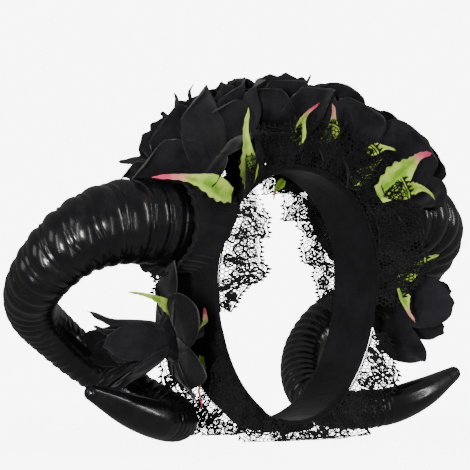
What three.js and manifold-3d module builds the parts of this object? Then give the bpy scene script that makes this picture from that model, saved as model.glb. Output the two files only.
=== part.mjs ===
// Ram horns headband: a ribbon-wrapped hoop with two curled horns, fabric roses, sepals and lace ruffles.
// Millimetres. +Z is up, +X is the wearer's left, the wearer looks along -Y.
// The drawing frame has the floor at Z = 0 and the middle of the band at X = 0, Y = 0.
import * as THREE from 'three';
import { mergeVertices } from 'three/addons/utils/BufferGeometryUtils.js';
import Module from 'manifold-3d';

const wasm = await Module();
wasm.setup();

// Driving dimensions
const SEAT_GAP = 0.3; // clearance between pieces that touch
const HOOP = { halfWidth: 66, above: 64, centreHeight: 92 }; // middle of the band's thickness
const BAND = { width: 33, thickness: 3.2, endLap: 11, lapRamp: 18, facets: 46 }; // lap and ramp in degrees
const HORN = {
  reach: 88, // how far the curl goes out past the hoop
  depth: 70, // how far the curl goes back behind the band
  rootHeight: 122, // height of the root's middle above the floor
  rootRadius: 24.5,
  smoothRoot: 34, // bare length before the first ridge
  smoothTip: 62, // bare length after the last ridge
  ridgePitch: 13.2, // at the root
  ridgeTaper: 1.25, // how fast the ridges get closer as the horn gets thinner
  ridgeShare: 0.055, // depth of a groove as a share of the local radius
  sides: 10,
};
const CUFF = { length: 25, wall: 2, fold: 1.4, lip: 3 };
const ROSE = { radius: 33, petalWall: 1.8, petals: 5, calyx: 0.2 };
const LEAF = { wall: 1.1, curl: 0.22, belly: 0.24, taper: 0.26, tail: 0.27 };
const LACE = { width: 27, wall: 1.2, wave: 4.2, wavePitch: 27, stepsPerWave: 4 };

// The horn's middle line, a row for each eighth turn or so. out: share of the reach past the hoop,
// back: share of the depth, up: share of the root's height, thick: share of the root's radius.
const HORN_PATH = [
  { out: -0.16, back: 0.05, up: 1.0, thick: 1.0 },
  { out: 0.27, back: 0.08, up: 1.03, thick: 1.0 },
  { out: 0.66, back: 0.09, up: 1.03, thick: 0.98 },
  { out: 0.93, back: 0.24, up: 0.94, thick: 0.86 },
  { out: 1.0, back: 0.54, up: 0.77, thick: 0.71 },
  { out: 0.82, back: 0.86, up: 0.63, thick: 0.61 },
  { out: 0.52, back: 1.0, up: 0.5, thick: 0.57 },
  { out: 0.25, back: 0.92, up: 0.35, thick: 0.54 },
  { out: 0.02, back: 0.62, up: 0.2, thick: 0.52 },
  { out: -0.02, back: 0.26, up: 0.11, thick: 0.5 },
  { out: 0.28, back: 0.03, up: 0.11, thick: 0.46 },
  { out: 0.62, back: -0.03, up: 0.17, thick: 0.38 },
  { out: 0.95, back: -0.03, up: 0.26, thick: 0.18 },
];

// The roses. around: degrees from the top of the hoop towards +X, lift: share of the rose radius from the
// band's face to the foot of the petals, front: share of the band's width towards the wearer's face,
// size: share of the rose radius, nod and turn: degrees that the flower looks forward and outward,
// spin: degrees about its own axis.
const ROSES = [
  {
    name: 'rose_top_middle', kind: 'closed', around: 4, lift: 0.42, front: -0.22,
    size: 0.95, nod: -4, turn: 0, spin: 10,
  },
  {
    name: 'rose_top_right', kind: 'closed', around: -22, lift: 0.42, front: -0.3,
    size: 0.92, nod: -12, turn: -4, spin: 40,
  },
  {
    name: 'rose_top_left', kind: 'closed', around: 29, lift: 0.38, front: -0.2,
    size: 1.0, nod: 0, turn: 6, spin: 65,
  },
  {
    name: 'rose_side_right', kind: 'closed', around: -42, lift: 0.42, front: -0.05,
    size: 1.1, nod: -32, turn: -2, spin: 20,
  },
  {
    name: 'rose_side_left', kind: 'closed', around: 54, lift: 0.5, front: -0.1,
    size: 1.12, nod: 6, turn: -2, spin: 50,
  },
  {
    name: 'rose_low_right', kind: 'open', around: -108, lift: 0.66, front: 0.06,
    size: 1.04, nod: -28, turn: 0, spin: 0,
  },
  {
    name: 'rose_low_left', kind: 'closed', around: 99, lift: 0.72, front: 0.04,
    size: 0.94, nod: 12, turn: 4, spin: 36,
  },
];

// How far each side of a petal bulges, from the notch before it to its overlap with the next one
const PETAL_BULGE = [0, 1, 0.7];

// The levels of a rose of each kind, from the foot over the petals' rims into the heart. up and wide: shares
// of the size, lobe and crest: how much the petals add to wide and up, wall: 1 on the outer side of a petal
// and -1 on its inner side, tip: 1 where the solid grows upward with a clearance, inner: a level in the hollow
// of the flower, which a neighbour doesn't reach into.
const ROSE_KINDS = {
  closed: [
    { up: 0.04, wide: 0.3 },
    { up: 0.22, wide: 0.68, lobe: 0.08, wall: 1 },
    { up: 0.62, wide: 0.8, lobe: 0.12, wall: 1 },
    { up: 0.92, wide: 0.76, lobe: 0.18, crest: 0.16, wall: 1, tip: 1 },
    { up: 0.92, wide: 0.76, lobe: 0.18, crest: 0.16, wall: -1, inner: true },
    { up: 0.6, wide: 0.64, lobe: 0.06, inner: true },
    { up: 1.0, wide: 0.52, lobe: 0.06, inner: true },
    { up: 1.14, wide: 0.3, lobe: 0.08, crest: 0.06, tip: 1 },
    { up: 1.1, wide: 0.06, tip: 1 },
  ],
  open: [
    { up: 0.02, wide: 0.22 },
    { up: 0.14, wide: 0.46, lobe: 0.3, crest: -0.08 },
    { up: 0.12, wide: 0.62, lobe: 0.56, crest: -0.2, wall: 1 },
    { up: 0.22, wide: 0.62, lobe: 0.56, crest: -0.2, wall: 1, tip: 1 },
    { up: 0.26, wide: 0.34, lobe: 0.04, tip: 1 },
    { up: 0.74, wide: 0.42, lobe: 0.06, wall: 1 },
    { up: 1.16, wide: 0.46, lobe: 0.12, crest: 0.36, wall: 1, tip: 1 },
    { up: 1.16, wide: 0.46, lobe: 0.12, crest: 0.36, wall: -1, inner: true },
    { up: 0.6, wide: 0.32, inner: true },
  ],
};

// The sepals. Each end is given by degrees around the hoop, rise: share of the rose radius above the band's
// face, and front: share of the band's width ahead of the band's middle. width: share of the leaf's length,
// bow: share of the length that the middle stands proud towards the front, bend: share of the length that
// the tail swings aside.
const LEAVES = [
  { name: 'leaf_cuff_right', from: [-50, 0.3, 0.66], to: [-62, 1.75, 0.2], width: 0.26, bow: 0.16, bend: 0.06 },
  { name: 'leaf_gap_right', from: [-39, 0.1, 0.62], to: [-30, 1.45, 0.9], width: 0.34, bow: 0.12, bend: -0.12 },
  { name: 'leaf_mid_pink', from: [-4, 0.35, 0.6], to: [0, 1.1, 0.98], width: 0.4, bow: 0.1, bend: -0.1 },
  { name: 'leaf_mid_peach', from: [12, 0.4, 0.7], to: [6, 1.1, 0.98], width: 0.55, bow: 0.12, bend: 0.1 },
  { name: 'leaf_gap_left', from: [31, 0.62, 0.86], to: [38, 0.86, 1.15], width: 0.42, bow: 0.1, bend: -0.1 },
  { name: 'leaf_side_green', from: [36, 0.1, 0.62], to: [40, 0.8, 0.75], width: 0.45, bow: 0.08, bend: 0.05 },
  { name: 'leaf_side_pink', from: [48, 0.2, 0.86], to: [51, 1.5, 1.1], width: 0.44, bow: 0.12, bend: -0.16 },
  { name: 'leaf_cuff_left', from: [52, 0.4, 1.0], to: [64, 1.1, 1.1], width: 0.32, bow: 0.14, bend: -0.18 },
  { name: 'leaf_low_pink', from: [-110, 0.5, 0.18], to: [-97, 0.8, 0.95], width: 0.34, bow: 0.12, bend: 0.1 },
  { name: 'leaf_low_thin', from: [-120, 0.06, -0.05], to: [-132, 0.8, 0.2], width: 0.2, bow: 0.1, bend: 0.08 },
  { name: 'leaf_low_peach', from: [94, 0.2, 0.85], to: [106, 0.5, 0.95], width: 0.42, bow: 0.12, bend: 0.1 },
  { name: 'leaf_low_dark', from: [92, 0.25, 0.75], to: [83, 1.1, 0.95], width: 0.3, bow: 0.12, bend: -0.1 },
  { name: 'leaf_stem_right', from: [-101, 0.55, 0.1], to: [-92, 1.95, 0.3], width: 0.16, bow: 0.08, bend: 0.05 },
  { name: 'leaf_back_left', from: [24, -0.1, -0.62], to: [22, -0.5, -0.72], width: 0.45, bow: -0.1, bend: 0 },
];

// The lace ruffles. side: 1 along the front edge and -1 along the back edge. Each stretch has rows of
// degrees around the hoop, the flare in degrees from straight ahead to straight outward, and the width
// as a share of the lace's width.
const RUFFLES = [
  {
    name: 'ruffle_front_upper', side: 1,
    rows: [[-102, -10, 0.4], [-84, -20, 1.05], [-58, 0, 1.05], [-40, 58, 1.3], [-26, 66, 1.2],
      [0, 72, 1.1], [26, 66, 1.1], [52, 40, 1.15], [84, 38, 1.1], [102, 30, 0.5]],
  },
  {
    name: 'ruffle_front_lower', side: 1,
    rows: [[112, 50, 0.4], [126, 66, 0.85], [146, 74, 0.9], [163, 66, 0.85], [180, 60, 0.8],
      [197, 66, 0.85], [214, 74, 0.95], [234, 74, 0.95], [252, 66, 0.5]],
  },
  {
    name: 'ruffle_back_upper', side: -1,
    rows: [[-104, 4, 0.4], [-84, 0, 0.85], [-56, 0, 1.0], [-28, -8, 0.85], [0, -10, 0.6],
      [28, -8, 0.85], [56, 0, 1.0], [84, 0, 0.85], [104, 4, 0.4]],
  },
  {
    name: 'ruffle_back_lower', side: -1,
    rows: [[138, 30, 0.4], [152, 50, 0.65], [166, 50, 0.7], [180, 40, 0.65], [196, 50, 0.7],
      [214, 66, 0.8], [232, 70, 0.8], [250, 60, 0.5]],
  },
];

const rad = THREE.MathUtils.degToRad;
const vec = (x, y, z) => new THREE.Vector3(x, y, z);
const hoopBelow = HOOP.centreHeight - 2.5 * BAND.thickness - 2 * SEAT_GAP; // the outer band end meets the floor

// Six times the volume that the triangles enclose, negative when they face inwards
function signedVolume(points, triangles) {
  return triangles.reduce((sum, [a, b, c]) => sum + points[a].dot(points[b].clone().cross(points[c])), 0);
}

// A closed manifold solid from a list of points and triangles
function solidFrom(points, triangles) {
  const facing = signedVolume(points, triangles) > 0 ? triangles : triangles.map(([a, b, c]) => [a, c, b]);
  let geometry = new THREE.BufferGeometry();
  const corners = points.flatMap((p) => [p.x, p.y, p.z]);
  geometry.setAttribute('position', new THREE.Float32BufferAttribute(corners, 3));
  geometry.setIndex(facing.flat());
  geometry = mergeVertices(geometry, 1e-4);
  return new wasm.Manifold(new wasm.Mesh({
    numProp: 3,
    vertProperties: Float32Array.from(geometry.attributes.position.array),
    triVerts: Uint32Array.from(geometry.index.array),
  }));
}

// A closed tube from rings of equal length, capped at both ends
function ringSolid(rings) {
  const n = rings[0].length;
  const last = (rings.length - 1) * n;
  const triangles = [];
  for (let start = 0; start < last; start += n) {
    const next = start + n;
    for (let k = 0; k < n; k += 1) {
      const a = start + k;
      const b = start + ((k + 1) % n);
      triangles.push([a, b, next + k], [b, next + ((k + 1) % n), next + k]);
    }
  }
  for (let k = 1; k < n - 1; k += 1) {
    triangles.push([0, k + 1, k], [last, last + k, last + k + 1]);
  }
  return solidFrom(rings.flat(), triangles);
}

// A sheet of the given wall along surface(u, v), both from 0 to 1. grow makes it larger all round.
function sheetSolid(surface, stepsU, stepsV, wall, grow) {
  const grid = [];
  for (let i = 0; i <= stepsU; i += 1) {
    grid.push([]);
    for (let j = 0; j <= stepsV; j += 1) grid[i].push(surface(i / stepsU, j / stepsV));
  }
  const normals = grid.map((row, i) => row.map((p, j) => {
    const across = grid[Math.min(i + 1, stepsU)][j].clone().sub(grid[Math.max(i - 1, 0)][j]);
    const along = row[Math.min(j + 1, stepsV)].clone().sub(row[Math.max(j - 1, 0)]);
    return across.cross(along).normalize();
  }));
  const pushed = (i, j, inI, inJ) => grid[i][j].clone().sub(grid[inI][inJ]).normalize().multiplyScalar(grow);
  const centre = grid.map((row, i) => row.map((p, j) => {
    const q = p.clone();
    if (grow > 0 && (i === 0 || i === stepsU)) q.add(pushed(i, j, i === 0 ? 1 : stepsU - 1, j));
    if (grow > 0 && (j === 0 || j === stepsV)) q.add(pushed(i, j, i, j === 0 ? 1 : stepsV - 1));
    return q;
  }));
  const points = [];
  for (const sign of [1, -1]) {
    centre.forEach((row, i) => row.forEach((p, j) => {
      points.push(p.clone().addScaledVector(normals[i][j], sign * (wall / 2 + grow)));
    }));
  }
  const width = stepsV + 1;
  const under = (stepsU + 1) * width;
  const at = (i, j) => i * width + j;
  const triangles = [];
  const quad = (a, b, c, d) => triangles.push([a, b, c], [a, c, d]);
  for (let i = 0; i < stepsU; i += 1) {
    for (let j = 0; j < stepsV; j += 1) {
      quad(at(i, j), at(i + 1, j), at(i + 1, j + 1), at(i, j + 1));
      quad(under + at(i, j), under + at(i, j + 1), under + at(i + 1, j + 1), under + at(i + 1, j));
    }
    quad(at(i, 0), under + at(i, 0), under + at(i + 1, 0), at(i + 1, 0));
    quad(at(i + 1, stepsV), under + at(i + 1, stepsV), under + at(i, stepsV), at(i, stepsV));
  }
  for (let j = 0; j < stepsV; j += 1) {
    quad(at(0, j + 1), under + at(0, j + 1), under + at(0, j), at(0, j));
    quad(at(stepsU, j), under + at(stepsU, j), under + at(stepsU, j + 1), at(stepsU, j + 1));
  }
  return solidFrom(points, triangles);
}

// A point of the hoop's middle line and the way out from it, at an angle in degrees from the top towards +X
function hoopAt(degrees) {
  const a = rad(degrees);
  const height = Math.cos(a) > 0 ? HOOP.above : hoopBelow;
  const point = vec(HOOP.halfWidth * Math.sin(a), 0, HOOP.centreHeight + height * Math.cos(a));
  const out = vec(height * Math.sin(a), 0, HOOP.halfWidth * Math.cos(a)).normalize();
  return { point, out };
}

// A place outside the band: angle, height above the band's outer face, distance ahead of its middle
function overBand(degrees, rise, ahead) {
  const { point, out } = hoopAt(degrees);
  return point.addScaledVector(out, BAND.thickness / 2 + rise).add(vec(0, -ahead, 0));
}

// The band: one strip whose right end laps over its left end at the bottom
function buildBand(grow) {
  const reach = 180 + BAND.endLap;
  const step = (2 * reach) / (BAND.facets - 1);
  const halfWidth = BAND.width / 2 + grow;
  const halfWall = BAND.thickness / 2 + grow;
  const rings = [];
  for (let k = 0; k < BAND.facets; k += 1) {
    const degrees = -reach + k * step;
    const { point, out } = hoopAt(degrees);
    const lap = THREE.MathUtils.smoothstep(-degrees, 180 - BAND.endLap - BAND.lapRamp, 180 - BAND.endLap);
    point.addScaledVector(out, lap * (BAND.thickness + SEAT_GAP));
    rings.push([[1, 1], [1, -1], [-1, -1], [-1, 1]].map(([y, n]) => point.clone()
      .add(vec(0, y * halfWidth, 0)).addScaledVector(out, n * halfWall)));
  }
  return ringSolid(rings);
}

// The space inside the band's outer face, which the horn roots and cuffs end on
function hoopSpace() {
  const facets = 72;
  const reach = 2 * BAND.width; // wider than any piece that it trims
  return ringSolid([-1, 1].map((side) => {
    const outline = [];
    for (let k = 0; k < facets; k += 1) {
      const { point, out } = hoopAt((-360 * k) / facets);
      outline.push(point.addScaledVector(out, BAND.thickness / 2 + SEAT_GAP).add(vec(0, side * reach, 0)));
    }
    return outline;
  }));
}

// Middle line and radius of the left horn: a Catmull-Rom curve through the rows, t from 0 to 1
function hornRow(index) {
  const { out, back, up, thick } = HORN_PATH[index];
  return [
    HOOP.halfWidth + out * HORN.reach, back * HORN.depth, up * HORN.rootHeight, thick * HORN.rootRadius,
  ];
}
function hornAt(t) {
  const last = HORN_PATH.length - 1;
  const index = Math.min(Math.floor(t * last), last - 1);
  const f = t * last - index;
  const p1 = hornRow(index);
  const p2 = hornRow(index + 1);
  const p0 = index > 0 ? hornRow(index - 1) : p1.map((v, k) => 2 * v - p2[k]);
  const p3 = index + 2 <= last ? hornRow(index + 2) : p2.map((v, k) => 2 * v - p1[k]);
  return p1.map((v, k) => 0.5 * (2 * v + (p2[k] - p0[k]) * f + (2 * p0[k] - 5 * v + 4 * p2[k] - p3[k]) * f * f
    + (3 * v - p0[k] - 3 * p2[k] + p3[k]) * f * f * f));
}

// Stations along the horn at even lengths, with frames that don't twist
const HORN_SAMPLES = 480;
function hornLine() {
  const stations = [];
  let length = 0;
  for (let k = 0; k <= HORN_SAMPLES; k += 1) {
    const [x, y, z, radius] = hornAt(k / HORN_SAMPLES);
    const point = vec(x, y, z);
    if (k > 0) length += point.distanceTo(stations[k - 1].point);
    stations.push({ point, radius, length });
  }
  let side = vec(0, 1, 0);
  stations.forEach((s, k) => {
    const before = stations[Math.max(k - 1, 0)].point;
    const after = stations[Math.min(k + 1, HORN_SAMPLES)].point;
    s.along = after.clone().sub(before).normalize();
    side = side.clone().addScaledVector(s.along, -side.dot(s.along)).normalize();
    s.side = side;
    s.up = s.along.clone().cross(side);
  });
  const lowest = Math.min(...stations.map((s) => s.point.z - s.radius * Math.sqrt(1 - s.along.z ** 2)));
  stations.forEach((s) => { s.point.z -= lowest; });
  return stations;
}
const hornStations = hornLine();
const hornLength = hornStations[HORN_SAMPLES].length;
function hornStation(length) {
  const index = hornStations.findIndex((s) => s.length >= length);
  return hornStations[index < 0 ? HORN_SAMPLES : index];
}

function ring(station, radius, sides, hand, shape = () => 1) {
  const points = [];
  for (let k = 0; k < sides; k += 1) {
    const a = (2 * Math.PI * k) / sides;
    const r = radius * shape(a);
    const p = station.point.clone().addScaledVector(station.side, r * Math.cos(a))
      .addScaledVector(station.up, r * Math.sin(a));
    points.push(vec(p.x * hand, p.y, p.z));
  }
  return hand > 0 ? points : points.reverse();
}

// A horn: a row of rounded ridges along the curl. hand is 1 for the left horn and -1 for the right one.
function buildHorn(hand, grow) {
  const rings = [0, HORN.smoothRoot / 2].map((length) => {
    const station = hornStation(length);
    return ring(station, station.radius + grow, HORN.sides, hand);
  });
  let at = HORN.smoothRoot;
  for (let k = 0; at < hornLength - HORN.smoothTip; k += 1) {
    const station = hornStation(at);
    const cut = k % 2 === 0 ? HORN.ridgeShare : 0;
    rings.push(ring(station, station.radius * (1 - cut) + grow, HORN.sides, hand));
    at += (HORN.ridgePitch / 2) * (station.radius / HORN.rootRadius) ** HORN.ridgeTaper;
  }
  for (const left of [0.75, 0.5, 0.25, 0]) {
    const station = hornStation(hornLength - left * HORN.smoothTip);
    rings.push(ring(station, station.radius + grow, HORN.sides, hand));
  }
  const tip = hornStations[HORN_SAMPLES];
  const blunt = { ...tip, point: tip.point.clone().addScaledVector(tip.along, tip.radius / 2 + grow) };
  rings.push(ring(blunt, tip.radius / 2 + grow, HORN.sides, hand));
  return ringSolid(rings).subtract(hoopSpace());
}

// A cuff: a gathered fabric sleeve over the horn's root, wider at its free lip
function buildCuff(hand, grow) {
  const sides = 2 * HORN.sides; // a fold on every second side
  const inner = HORN.rootRadius + 2 * SEAT_GAP;
  const reach = inner + CUFF.wall;
  const folded = (a) => 1 + (CUFF.fold * (1 + Math.cos(HORN.sides * a))) / (2 * reach);
  const root = hornStation(0);
  const end = HOOP.halfWidth - root.point.x + CUFF.length;
  const middle = hornStation(end / 2);
  const mouth = hornStation(end);
  const sleeve = ringSolid([
    ring(root, reach + grow, sides, hand, folded),
    ring(middle, reach + grow, sides, hand, folded),
    ring(mouth, reach + CUFF.lip + grow, sides, hand, folded),
  ]);
  if (grow > 0) return sleeve.subtract(hoopSpace());
  const overrun = 1; // the bore is cut clear through both ends
  const moved = (station, far) => (
    { ...station, point: station.point.clone().addScaledVector(mouth.along, far) }
  );
  const bore = ringSolid([
    ring(moved(root, -overrun), inner, HORN.sides, hand),
    ring(middle, inner, HORN.sides, hand),
    ring(moved(mouth, overrun), inner + CUFF.lip, HORN.sides, hand),
  ]);
  return sleeve.subtract(bore).subtract(hoopSpace());
}

// Where a rose stands: its axis, two directions across it, its size and the foot of its petals
function roseFrame(row) {
  const size = row.size * ROSE.radius;
  const nod = rad(row.nod);
  const axis = hoopAt(row.around + row.turn).out.multiplyScalar(Math.cos(nod)).add(vec(0, -Math.sin(nod), 0));
  const foot = overBand(row.around, row.lift * ROSE.radius, row.front * BAND.width);
  const e1 = vec(0, 1, 0).addScaledVector(axis, -axis.y).normalize();
  return { axis, e1, e2: axis.clone().cross(e1), size, foot };
}

// A rose as one solid: from its calyx, which seats it on the band, over each row of fused petals to its heart
function buildRose(row, grow) {
  const rose = roseFrame(row);
  const seat = overBand(row.around, -BAND.thickness, row.front * BAND.width);
  const sides = ROSE.petals * PETAL_BULGE.length;
  const levels = ROSE_KINDS[row.kind].filter((level) => grow === 0 || !level.inner);
  const rings = [{ wide: ROSE.calyx, seat: true }, ...levels].map((level) => {
    const points = [];
    for (let k = 0; k < sides; k += 1) {
      const a = rad(row.spin) + (2 * Math.PI * k) / sides;
      const bulge = PETAL_BULGE[k % PETAL_BULGE.length];
      const r = (level.wide + (level.lobe ?? 0) * bulge) * rose.size + grow;
      const wall = level.wall ? level.wall * (ROSE.petalWall / 2 + grow) : 0;
      const base = level.seat ? seat : rose.foot;
      const rise = (level.up + (level.crest ?? 0) * bulge) * rose.size + (level.tip ?? 0) * grow;
      const high = level.seat ? 0 : rise;
      points.push(base.clone().addScaledVector(rose.axis, high)
        .addScaledVector(rose.e1, (r + wall) * Math.cos(a)).addScaledVector(rose.e2, (r + wall) * Math.sin(a)));
    }
    return points;
  });
  return ringSolid(rings);
}

// A sepal: a bowed, slightly folded blade from its base to its tip
function buildLeaf(row, grow) {
  const [from, to] = [row.from, row.to].map(
    ([degrees, rise, front]) => overBand(degrees, rise * ROSE.radius, front * BAND.width),
  );
  const spine = to.clone().sub(from);
  const length = spine.length();
  const along = spine.clone().normalize();
  const face = vec(0, -1, 0).addScaledVector(along, along.y).normalize();
  const side = along.clone().cross(face);
  return sheetSolid((u, v) => {
    const across = 2 * u - 1;
    const blade = (1 - LEAF.tail) * Math.exp(-(((v - LEAF.belly) / LEAF.taper) ** 2));
    const half = (row.width * length * (blade + LEAF.tail * (1 - v ** 4 / 2))) / 2;
    return from.clone().addScaledVector(along, v * length)
      .addScaledVector(face, row.bow * length * Math.sin(Math.PI * v) - LEAF.curl * across * across * half)
      .addScaledVector(side, across * half + row.bend * length * Math.sin(Math.PI * v ** 1.3));
  }, 2, 6, LEAF.wall, grow);
}

// The value of a column of rows at an angle, eased between the rows
function eased(rows, degrees, column) {
  const next = rows.findIndex((row) => row[0] >= degrees);
  if (next <= 0) return next === 0 ? rows[0][column] : rows[rows.length - 1][column];
  const [a, b] = [rows[next - 1], rows[next]];
  return THREE.MathUtils.lerp(a[column], b[column], THREE.MathUtils.smoothstep(degrees, a[0], b[0]));
}

// A ruffle: gathered lace that leaves the band's edge in waves, and lies flat where it reaches the floor
function buildRuffle(ruffle, grow) {
  const first = ruffle.rows[0][0];
  const last = ruffle.rows[ruffle.rows.length - 1][0];
  const waves = (rad(last - first) * HOOP.halfWidth) / LACE.wavePitch;
  const floorClear = LACE.wall / 2;
  const surface = (u, v) => {
    const degrees = first + (last - first) * u;
    const flare = rad(eased(ruffle.rows, degrees, 1));
    const edge = BAND.width / 2 + 1.5 * SEAT_GAP + (LACE.wall / 2) * Math.abs(Math.sin(flare));
    const width = eased(ruffle.rows, degrees, 2) * LACE.width;
    const { point, out } = hoopAt(degrees);
    const ahead = vec(0, -ruffle.side, 0);
    const run = ahead.clone().multiplyScalar(Math.cos(flare)).addScaledVector(out, Math.sin(flare));
    const proud = out.clone().multiplyScalar(Math.cos(flare)).addScaledVector(ahead, -Math.sin(flare));
    const fade = Math.min(1, width / LACE.width);
    const wave = LACE.wave * fade * v * Math.sin(2 * Math.PI * waves * u);
    point.addScaledVector(ahead, edge).addScaledVector(run, v * width).addScaledVector(proud, wave);
    const lack = floorClear - point.z;
    if (lack > 0) {
      point.z = floorClear;
      point.addScaledVector(ahead, lack);
    }
    return point;
  };
  return sheetSolid(surface, Math.round(waves * LACE.stepsPerWave), 2, LACE.wall, grow);
}

const FINISH = {
  horn: { color: 0x0b0b0c, roughness: 0.22, metalness: 0 },
  ribbon: { color: 0x1c1b1f, roughness: 0.85, metalness: 0 },
  rose: { color: 0x201f23, roughness: 0.9, metalness: 0 },
  leaf: { color: 0xb4cf62, roughness: 0.7, metalness: 0 },
  lace: { color: 0x131215, roughness: 0.85, metalness: 0 },
};

// The pieces, firmest first: each one is cut back by SEAT_GAP from those before it
const plan = [
  { name: 'band', finish: 'ribbon', build: buildBand },
  ...[1, -1].map((hand) => ({
    name: hand > 0 ? 'horn_left' : 'horn_right', finish: 'horn', build: (grow) => buildHorn(hand, grow),
  })),
  ...[1, -1].map((hand) => ({
    name: hand > 0 ? 'cuff_left' : 'cuff_right', finish: 'ribbon', build: (grow) => buildCuff(hand, grow),
  })),
  ...LEAVES.map((row) => ({ name: row.name, finish: 'leaf', build: (grow) => buildLeaf(row, grow) })),
  ...RUFFLES.map((row) => ({ name: row.name, finish: 'lace', build: (grow) => buildRuffle(row, grow) })),
  ...ROSES.map((row) => ({ name: row.name, finish: 'rose', build: (grow) => buildRose(row, grow) })),
];

function boxesMeet(a, b) {
  return [0, 1, 2].every((k) => a.min[k] < b.max[k] && b.min[k] < a.max[k]);
}
function fitTogether(pieces) {
  const placed = [];
  return pieces.map((piece) => {
    let solid = piece.build(0);
    const box = solid.boundingBox();
    for (const other of placed) {
      if (boxesMeet(box, other.box)) solid = solid.subtract(other.grown);
    }
    const parts = solid.decompose();
    parts.sort((a, b) => b.volume() - a.volume());
    const grown = piece.build(SEAT_GAP);
    placed.push({ grown, box: grown.boundingBox() });
    return { ...piece, solid: parts[0] };
  });
}

function meshOf(piece) {
  const { vertProperties, triVerts } = piece.solid.getMesh();
  const geometry = new THREE.BufferGeometry();
  geometry.setAttribute('position', new THREE.BufferAttribute(Float32Array.from(vertProperties), 3));
  geometry.setIndex(new THREE.BufferAttribute(Uint32Array.from(triVerts), 1));
  geometry.computeVertexNormals();
  const material = new THREE.MeshStandardMaterial({ ...FINISH[piece.finish], flatShading: true });
  const mesh = new THREE.Mesh(geometry, material);
  mesh.name = piece.name;
  return mesh;
}

const headband = new THREE.Group();
fitTogether(plan).forEach((piece) => headband.add(meshOf(piece)));

// The part's own frame: its box stands centred on the origin
const box = new THREE.Box3().setFromObject(headband);
const middle = box.getCenter(new THREE.Vector3());
headband.position.set(-middle.x, -middle.y, -box.min.z);
headband.updateMatrixWorld(true);

export default headband;
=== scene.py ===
"""Looks of the ram horns headband: glossy ridged horns, fabric roses, sepals, ribbon and lace thread.

The headband's classes hold their sizes in millimetres, in its drawing frame: the floor at Z = 0 and the
middle of the band at X = 0, Y = 0. Drawing.to_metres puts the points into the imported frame. The studio's
classes hold metres.
"""

from __future__ import annotations

import logging
import math
from dataclasses import dataclass, field
from enum import Enum

import bpy
import numpy as np
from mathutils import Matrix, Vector

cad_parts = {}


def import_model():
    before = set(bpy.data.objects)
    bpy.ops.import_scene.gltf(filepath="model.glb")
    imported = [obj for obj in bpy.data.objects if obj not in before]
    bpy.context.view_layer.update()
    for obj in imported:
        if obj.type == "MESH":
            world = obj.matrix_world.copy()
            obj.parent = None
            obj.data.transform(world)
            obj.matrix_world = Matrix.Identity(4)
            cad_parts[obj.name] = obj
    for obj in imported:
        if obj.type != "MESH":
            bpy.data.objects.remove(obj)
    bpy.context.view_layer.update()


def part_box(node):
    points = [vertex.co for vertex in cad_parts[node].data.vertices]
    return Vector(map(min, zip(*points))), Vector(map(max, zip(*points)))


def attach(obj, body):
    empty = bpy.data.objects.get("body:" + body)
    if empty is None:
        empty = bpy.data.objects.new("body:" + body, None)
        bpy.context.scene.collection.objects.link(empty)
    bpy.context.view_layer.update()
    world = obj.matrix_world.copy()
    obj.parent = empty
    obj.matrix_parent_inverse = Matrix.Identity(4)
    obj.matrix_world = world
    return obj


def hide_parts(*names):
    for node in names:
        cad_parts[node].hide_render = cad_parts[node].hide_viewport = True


LOG = logging.getLogger("headband")
MM = 0.001
BODY = "root"
RIBBON = "band_ribbon"
NARROWEST_CUT = 10.5
LEAST_COVER = 0.31
Z_AXIS = np.array([0.0, 0.0, 1.0])
Y_AXIS = np.array([0.0, 1.0, 0.0])


class Hand(Enum):
    """The wearer's left or right: the sign of the x of a piece."""

    LEFT = 1
    RIGHT = -1

    @property
    def side(self) -> str:
        """The side as the names of pieces give it."""
        return self.name.lower()

    @property
    def mirror(self) -> np.ndarray:
        """What the coordinates of the left piece are multiplied by."""
        return np.array([self.value, 1, 1])


class Held(Enum):
    """How a piece of cloth keeps its form."""

    GATHERED = "gathered"
    FOLDED = "folded"


def unit(vectors: np.ndarray) -> np.ndarray:
    """Vectors of length one along the given ones."""
    length = np.linalg.norm(vectors, axis=-1, keepdims=True)
    return vectors / np.maximum(length, 1e-12)


def smoothstep(value: np.ndarray | float, low: float, high: float) -> np.ndarray:
    """A soft step from 0 at low to 1 at high."""
    share = np.clip((np.asarray(value, dtype=float) - low) / (high - low), 0.0, 1.0)
    return share * share * (3 - 2 * share)


def smoothed(rows: np.ndarray, before: np.ndarray, after: np.ndarray) -> np.ndarray:
    """Rows smoothed over their neighbours.

    Args:
        rows: the rows.
        before: rows that lead up to them, as many as one row is smoothed over on each side.
        after: as many rows that follow them.

    Returns:
        The smoothed rows, as many as were given.
    """
    weights = np.hanning(2 * len(before) + 3)[1:-1]
    weights /= weights.sum()
    padded = np.concatenate([before, rows, after])
    return np.stack([np.convolve(column, weights, "valid") for column in padded.T], -1)


@dataclass(frozen=True)
class Drawing:
    """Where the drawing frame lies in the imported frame."""

    shift: tuple[float, float, float]

    @classmethod
    def from_frame(cls) -> Drawing:
        """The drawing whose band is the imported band."""
        low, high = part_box("band")
        return cls((0.0, (low[1] + high[1]) / 2, 0.0))

    def to_metres(self, points: np.ndarray) -> np.ndarray:
        """Packed places, in metres, of points of the drawing."""
        return np.asarray(points, dtype=float) * MM + np.asarray(self.shift)


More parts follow.
